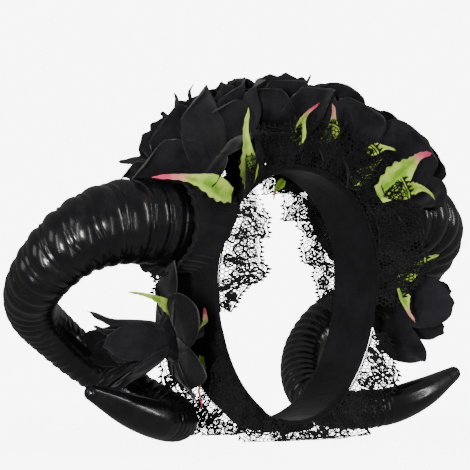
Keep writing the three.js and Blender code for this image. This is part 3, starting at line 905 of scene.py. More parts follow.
@dataclass
class Cuffs:
    """Gathered cloth cuffs that the horn roots come out of, pinched before a flared lip.

    pinch_at, pinch_width and lip_from are shares of the cuff's length.
    """

    horns: Horns
    length: float = 25.0
    sunk: float = 14.0
    wall: float = 0.9
    clearance: float = 0.7
    fold: float = 1.6
    folds: int = 26
    pinch: float = 0.75
    pinch_at: float = 0.8
    pinch_width: float = 0.09
    lip: float = 3.2
    lip_from: float = 0.82
    slack: float = 0.5
    rows: int = 26
    sides: int = 240

    def build(self, hand: Hand, drawing: Drawing, material: bpy.types.Material) -> bpy.types.Object:
        """Makes the cuff of one horn and logs the cut of its cloth.

        Args:
            hand: which of the two.
            drawing: the drawing frame.
            material: the ribbon cloth.

        Returns:
            The cuff.
        """
        root = self.horns.hoop.half_width - self.horns.point[0][0]
        start, end = max(0.0, root - self.sunk), root + self.length
        shares = np.linspace(0, 1, self.rows)
        grid = np.array([self._ring(share, start + (end - start) * share, hand) for share in shares])
        outward = unit(grid - grid.mean(1, keepdims=True))
        skin = np.concatenate([grid + outward * self.wall / 2, (grid - outward * self.wall / 2)[::-1]])
        faces = grid_faces(len(skin), self.sides, wrap=True, loop=True)
        faces = faces[:, ::-1] if hand is Hand.LEFT else faces
        uv = np.meshgrid(np.linspace(0, 1, len(skin)), np.linspace(0, 1, self.sides), indexing="ij")
        batch = MeshBatch()
        batch.add(skin, faces, np.stack(uv, -1))
        made = batch.build(f"cuff_{hand.side}_cloth", drawing, material)
        around = np.concatenate([grid, grid[:, :1]], 1)
        girth = float(np.linalg.norm(np.diff(around, axis=1), axis=-1).sum(1).max())
        declare_cloth(made, (end - start, girth), grid_area(around), Held.GATHERED)
        return made

    def _ring(self, share: float, length: float, hand: Hand) -> np.ndarray:
        """The middle of the cloth at a share of the cuff, which lies at a length along the horn."""
        horns = self.horns
        point, side, up = horns.station(length)
        angle = np.linspace(0, 2 * math.pi, self.sides, endpoint=False)
        gather = np.abs(np.sin(self.folds / 2 * angle + 1.3 * np.sin(3 * angle) + 0.7 * share))
        pinch = 1 - self.pinch * math.exp(-(((share - self.pinch_at) / self.pinch_width) ** 2))
        radius = horns.root_radius + self.clearance + self.wall / 2
        radius = radius + self.fold * pinch * gather * (0.6 + 0.8 * abs(share - 0.5))
        radius = radius + self.lip * max(0.0, share - self.lip_from) / (1 - self.lip_from)
        radius = radius + self.slack * np.sin(5 * angle + 4 * share)
        across = side * np.cos(angle)[:, None] + up * np.sin(angle)[:, None]
        return horns.outside_hoop((point + across * radius[:, None])[None])[0] * hand.mirror


@dataclass(frozen=True)
class PetalRow:
    """A row of like petals.

    profile lists height and distance from the axis, from base to tip, as shares of the rose's size.
    half_angle and turn are in degrees. wrap is how far a petal bends round the axis, tip how far its point
    stands out, flutter how wavy it is, base its width at the foot and taper how much it narrows.
    """

    count: int
    profile: tuple[tuple[float, float], ...]
    half_angle: float
    turn: float = 0.0
    wrap: float = 1.0
    tip: float = 0.1
    flutter: float = 0.03
    base: float = 0.4
    taper: float = 0.0


class RoseKind(Enum):
    """The petal rows of a closed rose, an open one and a half-open cup."""

    CLOSED = (
        PetalRow(
            5, ((0.08, 0.14), (0.14, 0.47), (0.06, 0.74), (-0.2, 0.9), (-0.4, 0.93)), 41, 24,
            tip=0.06, flutter=0.05,
        ),
        PetalRow(
            5, ((0.02, 0.18), (0.1, 0.56), (0.38, 0.84), (0.7, 0.92), (0.92, 1.03), (0.9, 1.15)), 50,
            tip=0.14, flutter=0.05,
        ),
        PetalRow(
            5, ((0.04, 0.18), (0.2, 0.52), (0.56, 0.75), (0.9, 0.76), (1.08, 0.86), (1.09, 0.96)), 46, 37,
            tip=0.12, flutter=0.04,
        ),
        PetalRow(4, ((0.05, 0.15), (0.3, 0.44), (0.7, 0.58), (1.0, 0.55), (1.15, 0.64)), 56, 10),
        PetalRow(
            3, ((0.1, 0.12), (0.35, 0.3), (0.8, 0.38), (1.08, 0.33), (1.18, 0.34)), 76, 50,
            tip=0.06, flutter=0.02,
        ),
        PetalRow(2, ((0.2, 0.05), (0.5, 0.16), (0.9, 0.2), (1.14, 0.12)), 115, 15, tip=0.03, flutter=0.01),
    )
    OPEN = (
        PetalRow(
            6, ((0.0, 0.14), (0.06, 0.42), (0.02, 0.8), (-0.16, 1.16)), 46,
            wrap=0.4, tip=0.04, flutter=0.06, base=0.5,
        ),
        PetalRow(
            5, ((0.02, 0.1), (0.3, 0.34), (0.74, 0.5), (1.1, 0.58), (1.36, 0.74)), 46, 24,
            wrap=0.85, tip=0.05, flutter=0.05, taper=0.15,
        ),
        PetalRow(
            4, ((0.05, 0.08), (0.3, 0.24), (0.75, 0.32), (1.15, 0.4), (1.3, 0.46)), 60, 60,
            wrap=0.9, tip=0.06, flutter=0.05, taper=0.2,
        ),
    )
    CUP = (
        PetalRow(
            5, ((0.04, 0.16), (0.08, 0.5), (0.22, 0.82), (0.5, 1.0), (0.8, 1.1)), 40, 38,
            wrap=0.8, tip=0.04, flutter=0.05, base=0.5,
        ),
        PetalRow(
            5, ((0.04, 0.14), (0.24, 0.42), (0.6, 0.58), (1.0, 0.7)), 40, 2,
            wrap=0.85, tip=0.05, flutter=0.05,
        ),
        PetalRow(4, ((0.05, 0.1), (0.35, 0.28), (0.8, 0.36), (1.15, 0.42)), 56, 60, wrap=0.9, tip=0.05),
    )


@dataclass(frozen=True)
class Rose:
    """Where a rose stands on the hoop and how it is turned.

    lift and front are shares of a rose's radius and of the band's width, size is a share of that radius,
    and the angles are in degrees. droop is how far the lowest petals hang.
    """

    node: str
    kind: RoseKind
    around: float
    lift: float
    front: float
    size: float
    nod: float
    turn: float
    spin: float
    droop: float = 1.0


ROSES = (
    Rose("rose_top_middle", RoseKind.CLOSED, 4, 0.42, -0.22, 0.95, -4, 0, 10),
    Rose("rose_top_right", RoseKind.CLOSED, -22, 0.42, -0.3, 0.92, -12, -4, 40),
    Rose("rose_top_left", RoseKind.CLOSED, 29, 0.38, -0.2, 1.0, 0, 6, 65),
    Rose("rose_side_right", RoseKind.CLOSED, -42, 0.42, -0.05, 1.1, -32, -2, 20, 0.3),
    Rose("rose_side_left", RoseKind.CLOSED, 54, 0.5, -0.1, 1.12, 6, -2, 50, 0.3),
    Rose("rose_low_right", RoseKind.OPEN, -108, 0.66, 0.06, 1.04, -28, 0, 0),
    Rose("rose_low_left", RoseKind.CUP, 99, 0.72, 0.04, 0.94, 12, 4, 36),
)


@dataclass(frozen=True)
class Stance:
    """How a rose grows: its foot, its axis, two ways across the axis and its size in millimetres."""

    foot: np.ndarray
    axis: np.ndarray
    back: np.ndarray
    side: np.ndarray
    size: float

    def away(self, angle: np.ndarray | float) -> np.ndarray:
        """The ways out from the axis at angles in radians."""
        angle = np.asarray(angle)[..., None]
        return self.back * np.cos(angle) + self.side * np.sin(angle)


@dataclass
class Garland:
    """The roses over and beside the band.

    fold, roll and lap are how far a petal's middle, its edges and its one side stand off, as shares of the
    rose's size. cut_length and cut_cover say what strip the petals are cut from.
    """

    hoop: Hoop
    radius: float = 33.0
    wall: float = 0.7
    bulge_middle: float = 1.4
    fold: float = 0.035
    roll: float = 0.07
    lap: float = 0.03
    across: int = 19
    up: int = 21
    stamens: int = 22
    stamen_radius: float = 0.28
    head_radius: float = 0.62
    cut_length: float = 1.2
    cut_cover: float = 0.8

    def build(
        self, rose: Rose, seed: int, drawing: Drawing, material: bpy.types.Material
    ) -> bpy.types.Object:
        """Makes a rose of single curled petals on a calyx, and logs the cut of its cloth.

        Args:
            rose: its place and kind.
            seed: what its small differences are drawn from.
            drawing: the drawing frame.
            material: the petal cloth.

        Returns:
            The rose.
        """
        rng = np.random.default_rng(seed)
        stance = self._stance(rose)
        batch = MeshBatch()
        cloth = 0.0
        for row in rose.kind.value:
            for k in range(row.count):
                lobe = 2 * math.pi * (3 * k + self.bulge_middle) / (3 * row.count)
                spin = math.radians(rose.spin + row.turn) + lobe + rng.uniform(-0.06, 0.06)
                local = self._petal(row, rose.droop, rng) * stance.size * rng.uniform(0.95, 1.05)
                away = stance.away(spin)
                sideways = np.cross(stance.axis, away)
                grid = stance.foot + local[..., :1] * away + local[..., 1:2] * sideways
                grid = grid + local[..., 2:] * stance.axis
                closed_sheet(batch, grid, self.wall)
                cloth += grid_area(grid)
        self._calyx(batch, rose, stance)
        if rose.kind is RoseKind.OPEN:
            self._stamens(batch, stance)
        made = batch.build(f"{rose.node}_petals", drawing, material)
        length = self.cut_length * stance.size
        declare_cloth(made, (cloth / length / self.cut_cover, length), cloth, Held.FOLDED)
        return made

    def _stance(self, rose: Rose) -> Stance:
        """Works out how the rose stands on the hoop."""
        nod = math.radians(rose.nod)
        _, out = self.hoop.at(rose.around + rose.turn)
        axis = unit(out * math.cos(nod) - Y_AXIS * math.sin(nod))
        foot = self.hoop.over(rose.around, rose.lift * self.radius, rose.front * self.hoop.band_width)
        back = unit(Y_AXIS - axis * axis[1])
        return Stance(foot, axis, back, np.cross(axis, back), rose.size * self.radius)

    def _petal(self, row: PetalRow, droop: float, rng: np.random.Generator) -> np.ndarray:
        """One petal: distance from the axis, sideways place and height, as shares of the size."""
        across = np.linspace(-1, 1, self.across)[:, None]
        v = np.linspace(0, 1, self.up)[None]
        tip = row.tip * rng.uniform(0.7, 1.3)
        lean = rng.uniform(-0.1, 0.1)
        reach = 1 - 0.3 * np.abs(across) ** 2.3 + tip * np.exp(-(((across - lean) / 0.16) ** 2))
        high, far = self._profile(row, v * reach)
        high = np.where(high < 0, high * droop, high)
        width = row.base + (1 - row.base) * np.sin(math.pi * (0.1 + 0.76 * v**0.85))
        angle = math.radians(row.half_angle) * across * width * (1 - row.taper * v**2)
        phase = rng.uniform(0, 6.28, 3)
        flutter = row.flutter * smoothstep(v, 0.45, 1.0) * np.sin(4.2 * across + phase[0])
        flutter = flutter * rng.uniform(0.6, 1.2)
        fold = self.fold * np.exp(-((across / 0.16) ** 2)) * smoothstep(v, 0.2, 0.9)
        roll = self.roll * np.abs(across) ** 3 * smoothstep(v, 0.35, 1.0) * rng.uniform(0.3, 1.3)
        ripple = 0.008 * np.sin(9 * across + 5 * v + phase[1]) + 0.01 * np.sin(6 * v + phase[2])
        distance = far + flutter - fold + roll + ripple + self.lap * across
        flat = 1 - row.wrap
        radial = distance * (flat + row.wrap * np.cos(angle)) - flat * 0.18 * across**2 * v
        sideways = far * (flat * angle + row.wrap * np.sin(angle))
        lift = high + flat * 0.12 * across**2 * v + 0.02 * rng.uniform(-1, 1) * v
        return np.stack(np.broadcast_arrays(radial, sideways, lift), -1)

    @staticmethod
    def _profile(row: PetalRow, run: np.ndarray) -> tuple[np.ndarray, np.ndarray]:
        """Height and distance from the axis at shares of a petal's length, on its smoothed profile."""
        reach, step = 10, 0.01
        knots = np.array(row.profile)
        places = np.linspace(0, 1, len(knots))
        slope = (knots[-1] - knots[-2]) / (places[-1] - places[-2])
        share = np.linspace(0, 1.4, 141)
        table = np.stack([np.interp(share, places, column) for column in knots.T], -1)
        table[share > 1] = knots[-1] + slope * (share[share > 1, None] - 1)
        before = np.repeat(table[:1], reach, 0)
        after = table[-1:] + slope * step * np.arange(1, reach + 1)[:, None]
        high, far = smoothed(table, before, after).T
        return np.interp(run, share, high), np.interp(run, share, far)

    def _calyx(self, batch: MeshBatch, rose: Rose, stance: Stance) -> None:
        """Adds the cloth-bound cone that the rose is tied down by."""
        seat = self.hoop.over(rose.around, self.hoop.seat_gap, rose.front * self.hoop.band_width)
        foot, rise = stance.foot, stance.axis * stance.size
        angle = np.linspace(0, 2 * math.pi, 40, endpoint=False)
        ribbed = stance.size * (1 + 0.05 * np.cos(9 * angle))[:, None]
        levels = (
            (seat, 0.16), ((seat + foot) / 2, 0.17), (foot, 0.24),
            (foot + rise * 0.1, 0.42), (foot + rise * 0.2, 0.3),
        )
        rings = [middle + stance.away(angle) * (wide * ribbed) for middle, wide in levels]
        closed_tube(batch, np.array(rings))

    def _stamens(self, batch: MeshBatch, stance: Stance) -> None:
        """Adds the thin stamens in the heart of an open rose, each with a small head."""
        turn = np.linspace(0, 2 * math.pi, 8, endpoint=False)
        for k in range(self.stamens):
            spread = 0.05 + 0.2 * math.sqrt(k / self.stamens)
            away = stance.away(2.4 * k)
            rings = []
            for share in np.linspace(0, 1, 9):
                rise = 0.1 + (0.6 + 0.25 * k / self.stamens) * share
                middle = stance.axis * rise + away * spread * (0.4 + 0.8 * share**2)
                thick = self.stamen_radius if share < 0.9 else self.head_radius
                rings.append(stance.foot + middle * stance.size + stance.away(turn) * thick)
            closed_tube(batch, np.array(rings))


@dataclass(frozen=True)
class Sepal:
    """A sepal: degrees, rise and front of both ends, width, bow and bend as shares, and its tint."""

    node: str
    start: tuple[float, float, float]
    end: tuple[float, float, float]
    width: float
    bow: float
    bend: float
    tint: Tint


SEPALS = (
    Sepal("leaf_cuff_right", (-50, 0.3, 0.66), (-62, 1.75, 0.2), 0.26, 0.16, 0.06, Tint.PINK),
    Sepal("leaf_gap_right", (-39, 0.1, 0.62), (-30, 1.45, 0.9), 0.34, 0.12, -0.12, Tint.GREEN),
    Sepal("leaf_mid_pink", (-4, 0.35, 0.6), (0, 1.1, 0.98), 0.4, -0.05, -0.1, Tint.PINK),
    Sepal("leaf_mid_peach", (12, 0.4, 0.7), (6, 1.1, 0.98), 0.55, 0.04, 0.1, Tint.PEACH),
    Sepal("leaf_gap_left", (31, 0.62, 0.86), (38, 0.86, 1.15), 0.42, 0.26, -0.1, Tint.GREEN),
    Sepal("leaf_side_green", (36, 0.1, 0.62), (40, 0.8, 0.75), 0.45, 0.08, 0.05, Tint.GREEN),
    Sepal("leaf_side_pink", (48, 0.2, 0.86), (51, 1.5, 1.1), 0.44, 0.22, -0.16, Tint.PINK),
    Sepal("leaf_cuff_left", (52, 0.4, 1.0), (64, 1.1, 1.1), 0.32, 0.14, -0.18, Tint.GREEN),
    Sepal("leaf_low_pink", (-110, 0.5, 0.18), (-97, 0.8, 0.95), 0.34, 0.12, 0.1, Tint.RED),
    Sepal("leaf_low_thin", (-120, 0.06, -0.05), (-132, 0.8, 0.2), 0.2, 0.1, 0.08, Tint.PINK),
    Sepal("leaf_low_peach", (94, 0.2, 0.85), (106, 0.5, 0.95), 0.42, 0.12, 0.1, Tint.PEACH),
    Sepal("leaf_low_dark", (92, 0.25, 0.75), (83, 1.1, 0.95), 0.3, 0.12, -0.1, Tint.GREEN),
    Sepal("leaf_stem_right", (-101, 0.55, 0.1), (-92, 1.95, 0.3), 0.16, 0.08, 0.05, Tint.GREEN),
    Sepal("leaf_back_left", (24, -0.1, -0.62), (22, -0.5, -0.72), 0.45, -0.1, 0, Tint.RED),
)


@dataclass
class Foliage:
    """The sepals: bowed blades with a folded middle, serrated edges and a curled tip.

    belly, taper and tail shape a blade: where it is widest, how fast it narrows and how wide it stays.
    """

    hoop: Hoop
    rose_radius: float = 33.0
    wall: float = 0.5
    fold: float = 0.27
    curl: float = 0.1
    ripple: float = 0.4
    teeth: int = 9
    deep_tooth: float = 0.22
    shallow_tooth: float = 0.05
    belly: float = 0.24
    taper: float = 0.26
    tail: float = 0.27
    across: int = 17
    up: int = 61

    def build(
        self, sepal: Sepal, seed: int, drawing: Drawing, material: bpy.types.Material
    ) -> bpy.types.Object:
        """Makes a sepal between the two ends that its row gives, and logs the cut of its cloth.

        Args:
            sepal: its ends and form.
            seed: what its small differences are drawn from.
            drawing: the drawing frame.
            material: the sepal cloth of its tint.

        Returns:
            The sepal.
        """
        rng = np.random.default_rng(seed)
        foot, tip = (
            self.hoop.over(degrees, rise * self.rose_radius, ahead * self.hoop.band_width)
            for degrees, rise, ahead in (sepal.start, sepal.end)
        )
        length = float(np.linalg.norm(tip - foot))
        along = (tip - foot) / length
        face = unit(-Y_AXIS + along * along[1])
        side = np.cross(along, face)
        across = np.linspace(-1, 1, self.across)[:, None]
        v = np.linspace(0, 1, self.up)[None]
        half = sepal.width * length / 2 * self._blade(across, v)
        sway = sepal.bend * length * np.sin(math.pi * v**1.3)
        bend = sepal.bow * length * np.sin(math.pi * v)
        curl = self.curl * length * smoothstep(v, 0.7, 1.0) * rng.uniform(0.3, 1.0)
        twist = rng.uniform(-0.5, 0.5) * (v - 0.4)
        ripple = self.ripple * np.sin(11 * v + rng.uniform(0, 6)) * across**2
        proud = bend + curl - self.fold * (1 - np.abs(across)) * half + ripple
        proud = proud + across * half * np.sin(twist)
        grid = foot + v[..., None] * length * along + proud[..., None] * face
        grid = grid + (across * half * np.cos(twist) + sway)[..., None] * side
        batch = MeshBatch()
        closed_sheet(batch, grid, self.wall)
        made = batch.build(f"{sepal.node}_cloth", drawing, material)
        declare_cloth(made, (2 * float(half.max()), 1.05 * length), grid_area(grid), Held.FOLDED)
        return made

    def _blade(self, across: np.ndarray, v: np.ndarray) -> np.ndarray:
        """The half width of a blade with its teeth, as a share of the widest, across it and along it."""
        depth = np.where(across < 0, self.deep_tooth, self.shallow_tooth) * np.abs(across) ** 2
        tooth = 1 + depth * (np.abs(2 * ((v * self.teeth) % 1) - 1) - 0.5)
        swell = (1 - self.tail) * np.exp(-(((v - self.belly) / self.taper) ** 2))
        point = 1 - 0.85 * smoothstep(v, 0.9, 1.0)
        return (swell + self.tail * (1 - v**4 / 2)) * tooth * point


@dataclass(frozen=True)
class Ruffle:
    """A stretch of lace. rows: degrees round the hoop, flare in degrees and width as a share."""

    node: str
    side: int
    rows: tuple[tuple[float, float, float], ...]


RUFFLES = (
    Ruffle("ruffle_front_upper", 1, (
        (-102, -10, 0.4), (-84, -20, 1.05), (-58, 0, 1.05), (-40, 58, 1.3), (-26, 66, 1.2), (0, 72, 1.1),
        (26, 66, 1.1), (52, 40, 1.15), (84, 38, 1.1), (102, 30, 0.5),
    )),
    Ruffle("ruffle_front_lower", 1, (
        (112, 50, 0.4), (126, 66, 0.85), (146, 74, 0.9), (163, 66, 0.85), (180, 60, 0.8), (197, 66, 0.85),
        (214, 74, 0.95), (234, 74, 0.95), (252, 66, 0.5),
    )),
    Ruffle("ruffle_back_upper", -1, (
        (-104, 4, 0.4), (-84, 0, 0.85), (-56, 0, 1.0), (-28, -8, 0.85), (0, -10, 0.6), (28, -8, 0.85),
        (56, 0, 1.0), (84, 0, 0.85), (104, 4, 0.4),
    )),
    Ruffle("ruffle_back_lower", -1, (
        (138, 30, 0.4), (152, 50, 0.65), (166, 50, 0.7), (180, 40, 0.65), (196, 50, 0.7), (214, 66, 0.8),
        (232, 70, 0.8), (250, 60, 0.5),
    )),
)


@dataclass
class Threads:
    """Straight bits of lace thread in the flat pattern: their starts, their ends and their radii."""

    starts: list[np.ndarray] = field(default_factory=list)
    ends: list[np.ndarray] = field(default_factory=list)
    radii: list[np.ndarray] = field(default_factory=list)

    def add(self, starts: np.ndarray, ends: np.ndarray, radius: float) -> None:
        """Adds bits of one thickness, given by rows of their two flat coordinates."""
        self.starts.append(np.asarray(starts).reshape(-1, 2))
        self.ends.append(np.asarray(ends).reshape(-1, 2))
        self.radii.append(np.full(len(self.starts[-1]), radius))

    def line(self, points: np.ndarray, radius: float) -> None:
        """Adds a line through points."""
        self.add(points[:-1], points[1:], radius)

    def joined(self) -> tuple[np.ndarray, np.ndarray, np.ndarray]:
        """All the bits as three arrays."""
        return np.concatenate(self.starts), np.concatenate(self.ends), np.concatenate(self.radii)


@dataclass(frozen=True)
class LaceCut:
    """A ruffle's cloth laid flat: at shares of the way along, the length of its edge and its width."""

    share: np.ndarray
    length: np.ndarray
    width: np.ndarray
    scallop: float
    scallop_depth: float

    @property
    def total(self) -> float:
        """The whole length."""
        return float(self.length[-1])

    def width_at(self, along: np.ndarray) -> np.ndarray:
        """The cloth's width at lengths along it, with its scallops."""
        dip = 1 - np.abs(np.sin(math.pi * along / self.scallop))
        return np.interp(along, self.length, self.width) - self.scallop_depth * dip**2


@dataclass
class LaceEdging:
    """Gathered net lace along the band's edges: a honeycomb net, flowers, a scalloped cord and picots.

    The threads are given by their radius. fine_ratio is how many small waves there are to a wave, base_cord
    and inner_cord how far two cords lie from the inner and the outer edge.
    """

    hoop: Hoop
    width: float = 27.0
    wall: float = 1.2
    wave: float = 4.2
    wave_pitch: float = 27.0
    fine_wave: float = 1.9
    fine_ratio: float = 2.7
    floor_clear: float = 0.5
    net_pitch: float = 2.8
    net_thread: float = 0.4
    cord_thread: float = 0.52
    cord_step: float = 1.3
    base_cord: float = 0.5
    inner_cord: float = 1.7
    outline_thread: float = 0.52
    fill_thread: float = 0.33
    fill_lines: int = 4
    flatness: float = 0.25
    motif_pitch: float = 21.0
    scallop: float = 21.0
    scallop_depth: float = 2.4
    picot_pitch: float = 3.0
    picot_length: float = 2.2
    samples: int = 1200

    def surface(self, ruffle: Ruffle, u: np.ndarray, v: np.ndarray) -> tuple[np.ndarray, np.ndarray]:
        """The gathered cloth's surface.

        Args:
            ruffle: the stretch.
            u: shares of the way along it.
            v: shares of its width, which may pass 1 at the picots.

        Returns:
            Points, and the way that the cloth faces.
        """
        rows = np.array(ruffle.rows, dtype=float)
        first, last = rows[0, 0], rows[-1, 0]
        degrees = first + (last - first) * u
        phase = 2 * math.pi * math.radians(last - first) * self.hoop.half_width / self.wave_pitch * u
        flare = np.radians(self._eased(rows, degrees, 1))
        width = self._eased(rows, degrees, 2) * self.width
        point, out = self.hoop.at(degrees)
        ahead = -ruffle.side * Y_AXIS
        run = ahead * np.cos(flare)[..., None] + out * np.sin(flare)[..., None]
        proud = out * np.cos(flare)[..., None] - ahead * np.sin(flare)[..., None]
        fade = np.minimum(1, width / self.width)
        lift = self.wave * fade * v * np.sin(phase)
        lift = lift + self.fine_wave * fade * v**1.5 * np.sin(phase * self.fine_ratio + 1.2 + 0.8 * v)
        edge = self.hoop.band_width / 2 + 1.5 * self.hoop.seat_gap + self.wall / 2 * np.abs(np.sin(flare))
        point = point + ahead * edge[..., None] + run * (v * width)[..., None] + proud * lift[..., None]
        lack = np.maximum(0, self.floor_clear - point[..., 2])
        point[..., 2] += lack
        point = point + ahead * lack[..., None]
        facing = np.where(lack[..., None] > 0, Z_AXIS, proud)
        return point, facing

    @staticmethod
    def _eased(rows: np.ndarray, degrees: np.ndarray, column: int) -> np.ndarray:
        """The value of a column at angles, eased between the rows."""
        k = np.clip(np.searchsorted(rows[:, 0], degrees) - 1, 0, len(rows) - 2)
        share = smoothstep((degrees - rows[k, 0]) / (rows[k + 1, 0] - rows[k, 0]), 0, 1)
        return rows[k, column] + (rows[k + 1, column] - rows[k, column]) * share

    def build(self, ruffle: Ruffle, drawing: Drawing, material: bpy.types.Material) -> bpy.types.Object:
        """Args:
            ruffle: the stretch.
            drawing: the drawing frame.
            material: the thread's finish.

        Returns:
            The ruffle.
        """
        cut = self._cut(ruffle)
        starts, ends, radii = self._pattern(cut).joined()
        a, facing = self._gathered(ruffle, cut, starts)
        b, _ = self._gathered(ruffle, cut, ends)
        batch = MeshBatch()
        self._prisms(batch, a, b, facing, radii)
        made = batch.build(f"{ruffle.node}_lace", drawing, material)
        deep = float(cut.width.max()) + self.picot_length
        skin = sum(p.area for p in made.data.polygons) / MM**2
        declare_cloth(made, (cut.total, deep), min(skin / 2, cut.total * deep), Held.GATHERED)
        return made

    def _cut(self, ruffle: Ruffle) -> LaceCut:
        """Lays the ruffle out flat along its wavy outer edge."""
        share = np.linspace(0, 1, self.samples)
        edge, _ = self.surface(ruffle, share, np.ones_like(share))
        length = np.concatenate([[0], np.cumsum(np.linalg.norm(np.diff(edge, axis=0), axis=1))])
        rows = np.array(ruffle.rows, dtype=float)
        degrees = rows[0, 0] + (rows[-1, 0] - rows[0, 0]) * share
        width = self._eased(rows, degrees, 2) * self.width
        return LaceCut(share, length, width, self.scallop, self.scallop_depth)

    def _gathered(self, ruffle: Ruffle, cut: LaceCut, flat: np.ndarray) -> tuple[np.ndarray, np.ndarray]:
        """Places of flat points on the gathered cloth, and the way that it faces there."""
        along, deep = flat.T
        share = np.interp(along, cut.length, cut.share)
        return self.surface(ruffle, share, deep / np.interp(along, cut.length, cut.width))

    def _prisms(
        self, batch: MeshBatch, a: np.ndarray, b: np.ndarray, facing: np.ndarray, radii: np.ndarray
    ) -> None:
        """Adds a pressed, three-sided closed prism for each bit of thread."""
        along = unit(b - a)
        reach = radii[:, None] * 0.6
        across = unit(np.cross(along, facing))
        normal = np.cross(across, along) * self.flatness
        corners = []
        for end in (a - along * reach, b + along * reach):
            for turn in np.radians([90, 210, 330]):
                corners.append(end + radii[:, None] * (across * math.cos(turn) + normal * math.sin(turn)))
        points = np.stack(corners, 1)
        base = 6 * np.arange(len(points))[:, None]
        quads = np.concatenate([base + quad for quad in ([0, 1, 4, 3], [1, 2, 5, 4], [2, 0, 3, 5])])
        caps = np.concatenate([base + cap for cap in ([0, 2, 1], [3, 4, 5])])
        start = batch.count
        batch.add(points.reshape(-1, 3), quads[:, ::-1])
        batch.faces.append(caps[:, ::-1] + start)

    def _pattern(self, cut: LaceCut) -> Threads:
        """Draws the flat lace: cords, picots, a scroll with leaves and flowers, and the net under them."""
        threads = Threads()
        fine = np.arange(0, cut.total, self.cord_step)
        edge = cut.width_at(fine)
        base = np.full_like(fine, self.base_cord)
        for across, share in ((edge, 1.0), (edge - self.inner_cord, 0.6), (base, 0.8)):
            threads.line(np.stack([fine, across], -1), self.cord_thread * share)
        at = np.arange(self.picot_pitch, cut.total - self.picot_pitch, self.picot_pitch)
        foot, half = cut.width_at(at), self.picot_pitch * 0.2
        apex = np.stack([at, foot + self.picot_length], -1)
        for hand in (-1, 1):
            threads.add(np.stack([at + hand * half, foot], -1), apex, self.outline_thread)
        self._scroll(threads, cut)
        self._net(threads, cut)
        return threads

    def _scroll(self, threads: Threads, cut: LaceCut) -> None:
        """Draws a waving stem with a flower in each bend and leaves beside it."""
        pitch = self.motif_pitch
        fine = np.arange(1.0, cut.total - 1.0, 1.5)
        height = 0.5 + 0.2 * np.cos(2 * math.pi * fine / pitch)
        threads.line(np.stack([fine, cut.width_at(fine) * height], -1), self.outline_thread)
        leaves = ((2.2, 0.3, 0.42), (-2.2, 0.3, 0.42), (1.2, 0.06, 0.34), (-1.2, 0.06, 0.34))
        for k, along in enumerate(np.arange(pitch * 0.5, cut.total - pitch * 0.3, pitch)):
            wide = float(cut.width_at(np.array([along]))[0])
            radius = (0.38 if k % 2 else 0.33) * wide
            middle = np.array([along, wide * 0.62])
            petals = 5 + k % 2
            for petal in range(petals):
                turn = 2 * math.pi * petal / petals + 0.4 * k
                self._oval(threads, middle, turn, radius, 0.38 * radius)
            for turn, root, reach in leaves:
                base = np.array([along + math.copysign(pitch * 0.22, turn), wide * root])
                self._oval(threads, base, math.pi / 2 - turn * 0.5, reach * wide, 0.13 * wide)

    def _oval(self, threads: Threads, root: np.ndarray, angle: float, length: float, half: float) -> None:
        """Draws an oval petal or leaf of the lace: an outline around close lines."""
        way = np.array([math.cos(angle), math.sin(angle)])
        across = np.array([-way[1], way[0]])
        start = 0.12
        t = np.linspace(start, 1, 8)
        belly = half * np.sin(math.pi * ((t - start) / (1 - start)) ** 0.8)
        for edge in np.linspace(-1, 1, self.fill_lines + 2):
            radius = self.outline_thread if abs(edge) == 1 else self.fill_thread
            threads.line(root + way * (length * t)[:, None] + across * (edge * belly)[:, None], radius)

    def _net(self, threads: Threads, cut: LaceCut) -> None:
        """Draws the honeycomb net that carries the flowers."""
        pitch, row = self.net_pitch, self.net_pitch * math.sqrt(3) / 2
        bar = pitch / math.sqrt(3)
        columns, rows = int(cut.total / pitch) + 1, int(self.width * 1.2 / row) + 1
        i, j = np.meshgrid(np.arange(columns), np.arange(rows))
        centre = np.stack([(i + 0.5 * (j % 2)) * pitch, j * row], -1).reshape(-1, 2)
        corner = [np.array([math.sin(a), math.cos(a)]) * bar for a in np.radians([60, 120, 180, 240])]
        for first, second in zip(corner[:-1], corner[1:]):
            a, b = centre + first, centre + second
            mid = (a + b) / 2
            inside = mid[:, 1] > 0.8
            inside &= np.maximum(a[:, 1], b[:, 1]) < cut.width_at(mid[:, 0]) - self.inner_cord
            inside &= (np.minimum(a[:, 0], b[:, 0]) > 0) & (np.maximum(a[:, 0], b[:, 0]) < cut.total)
            threads.add(a[inside], b[inside], self.net_thread)


@dataclass(frozen=True)
class SoftBox:
    """A rectangular lamp, in metres and watts, and whether it shows in gloss."""

    name: str
    place: tuple[float, float, float]
    target: tuple[float, float, float]
    width: float
    height: float
    power: float
    glossy: bool

    def hang(self) -> None:
        """Puts the lamp into the scene, facing its target."""
        data = bpy.data.lights.new(self.name, "AREA")
        data.shape, data.size, data.size_y, data.energy = "RECTANGLE", self.width, self.height, self.power
        lamp = bpy.data.objects.new(self.name, data)
        bpy.context.scene.collection.objects.link(lamp)
        lamp.location = self.place
        lamp.visible_glossy = self.glossy
        lamp.rotation_mode = "QUATERNION"
        lamp.rotation_quaternion = (Vector(self.place) - Vector(self.target)).to_track_quat("Z", "Y")


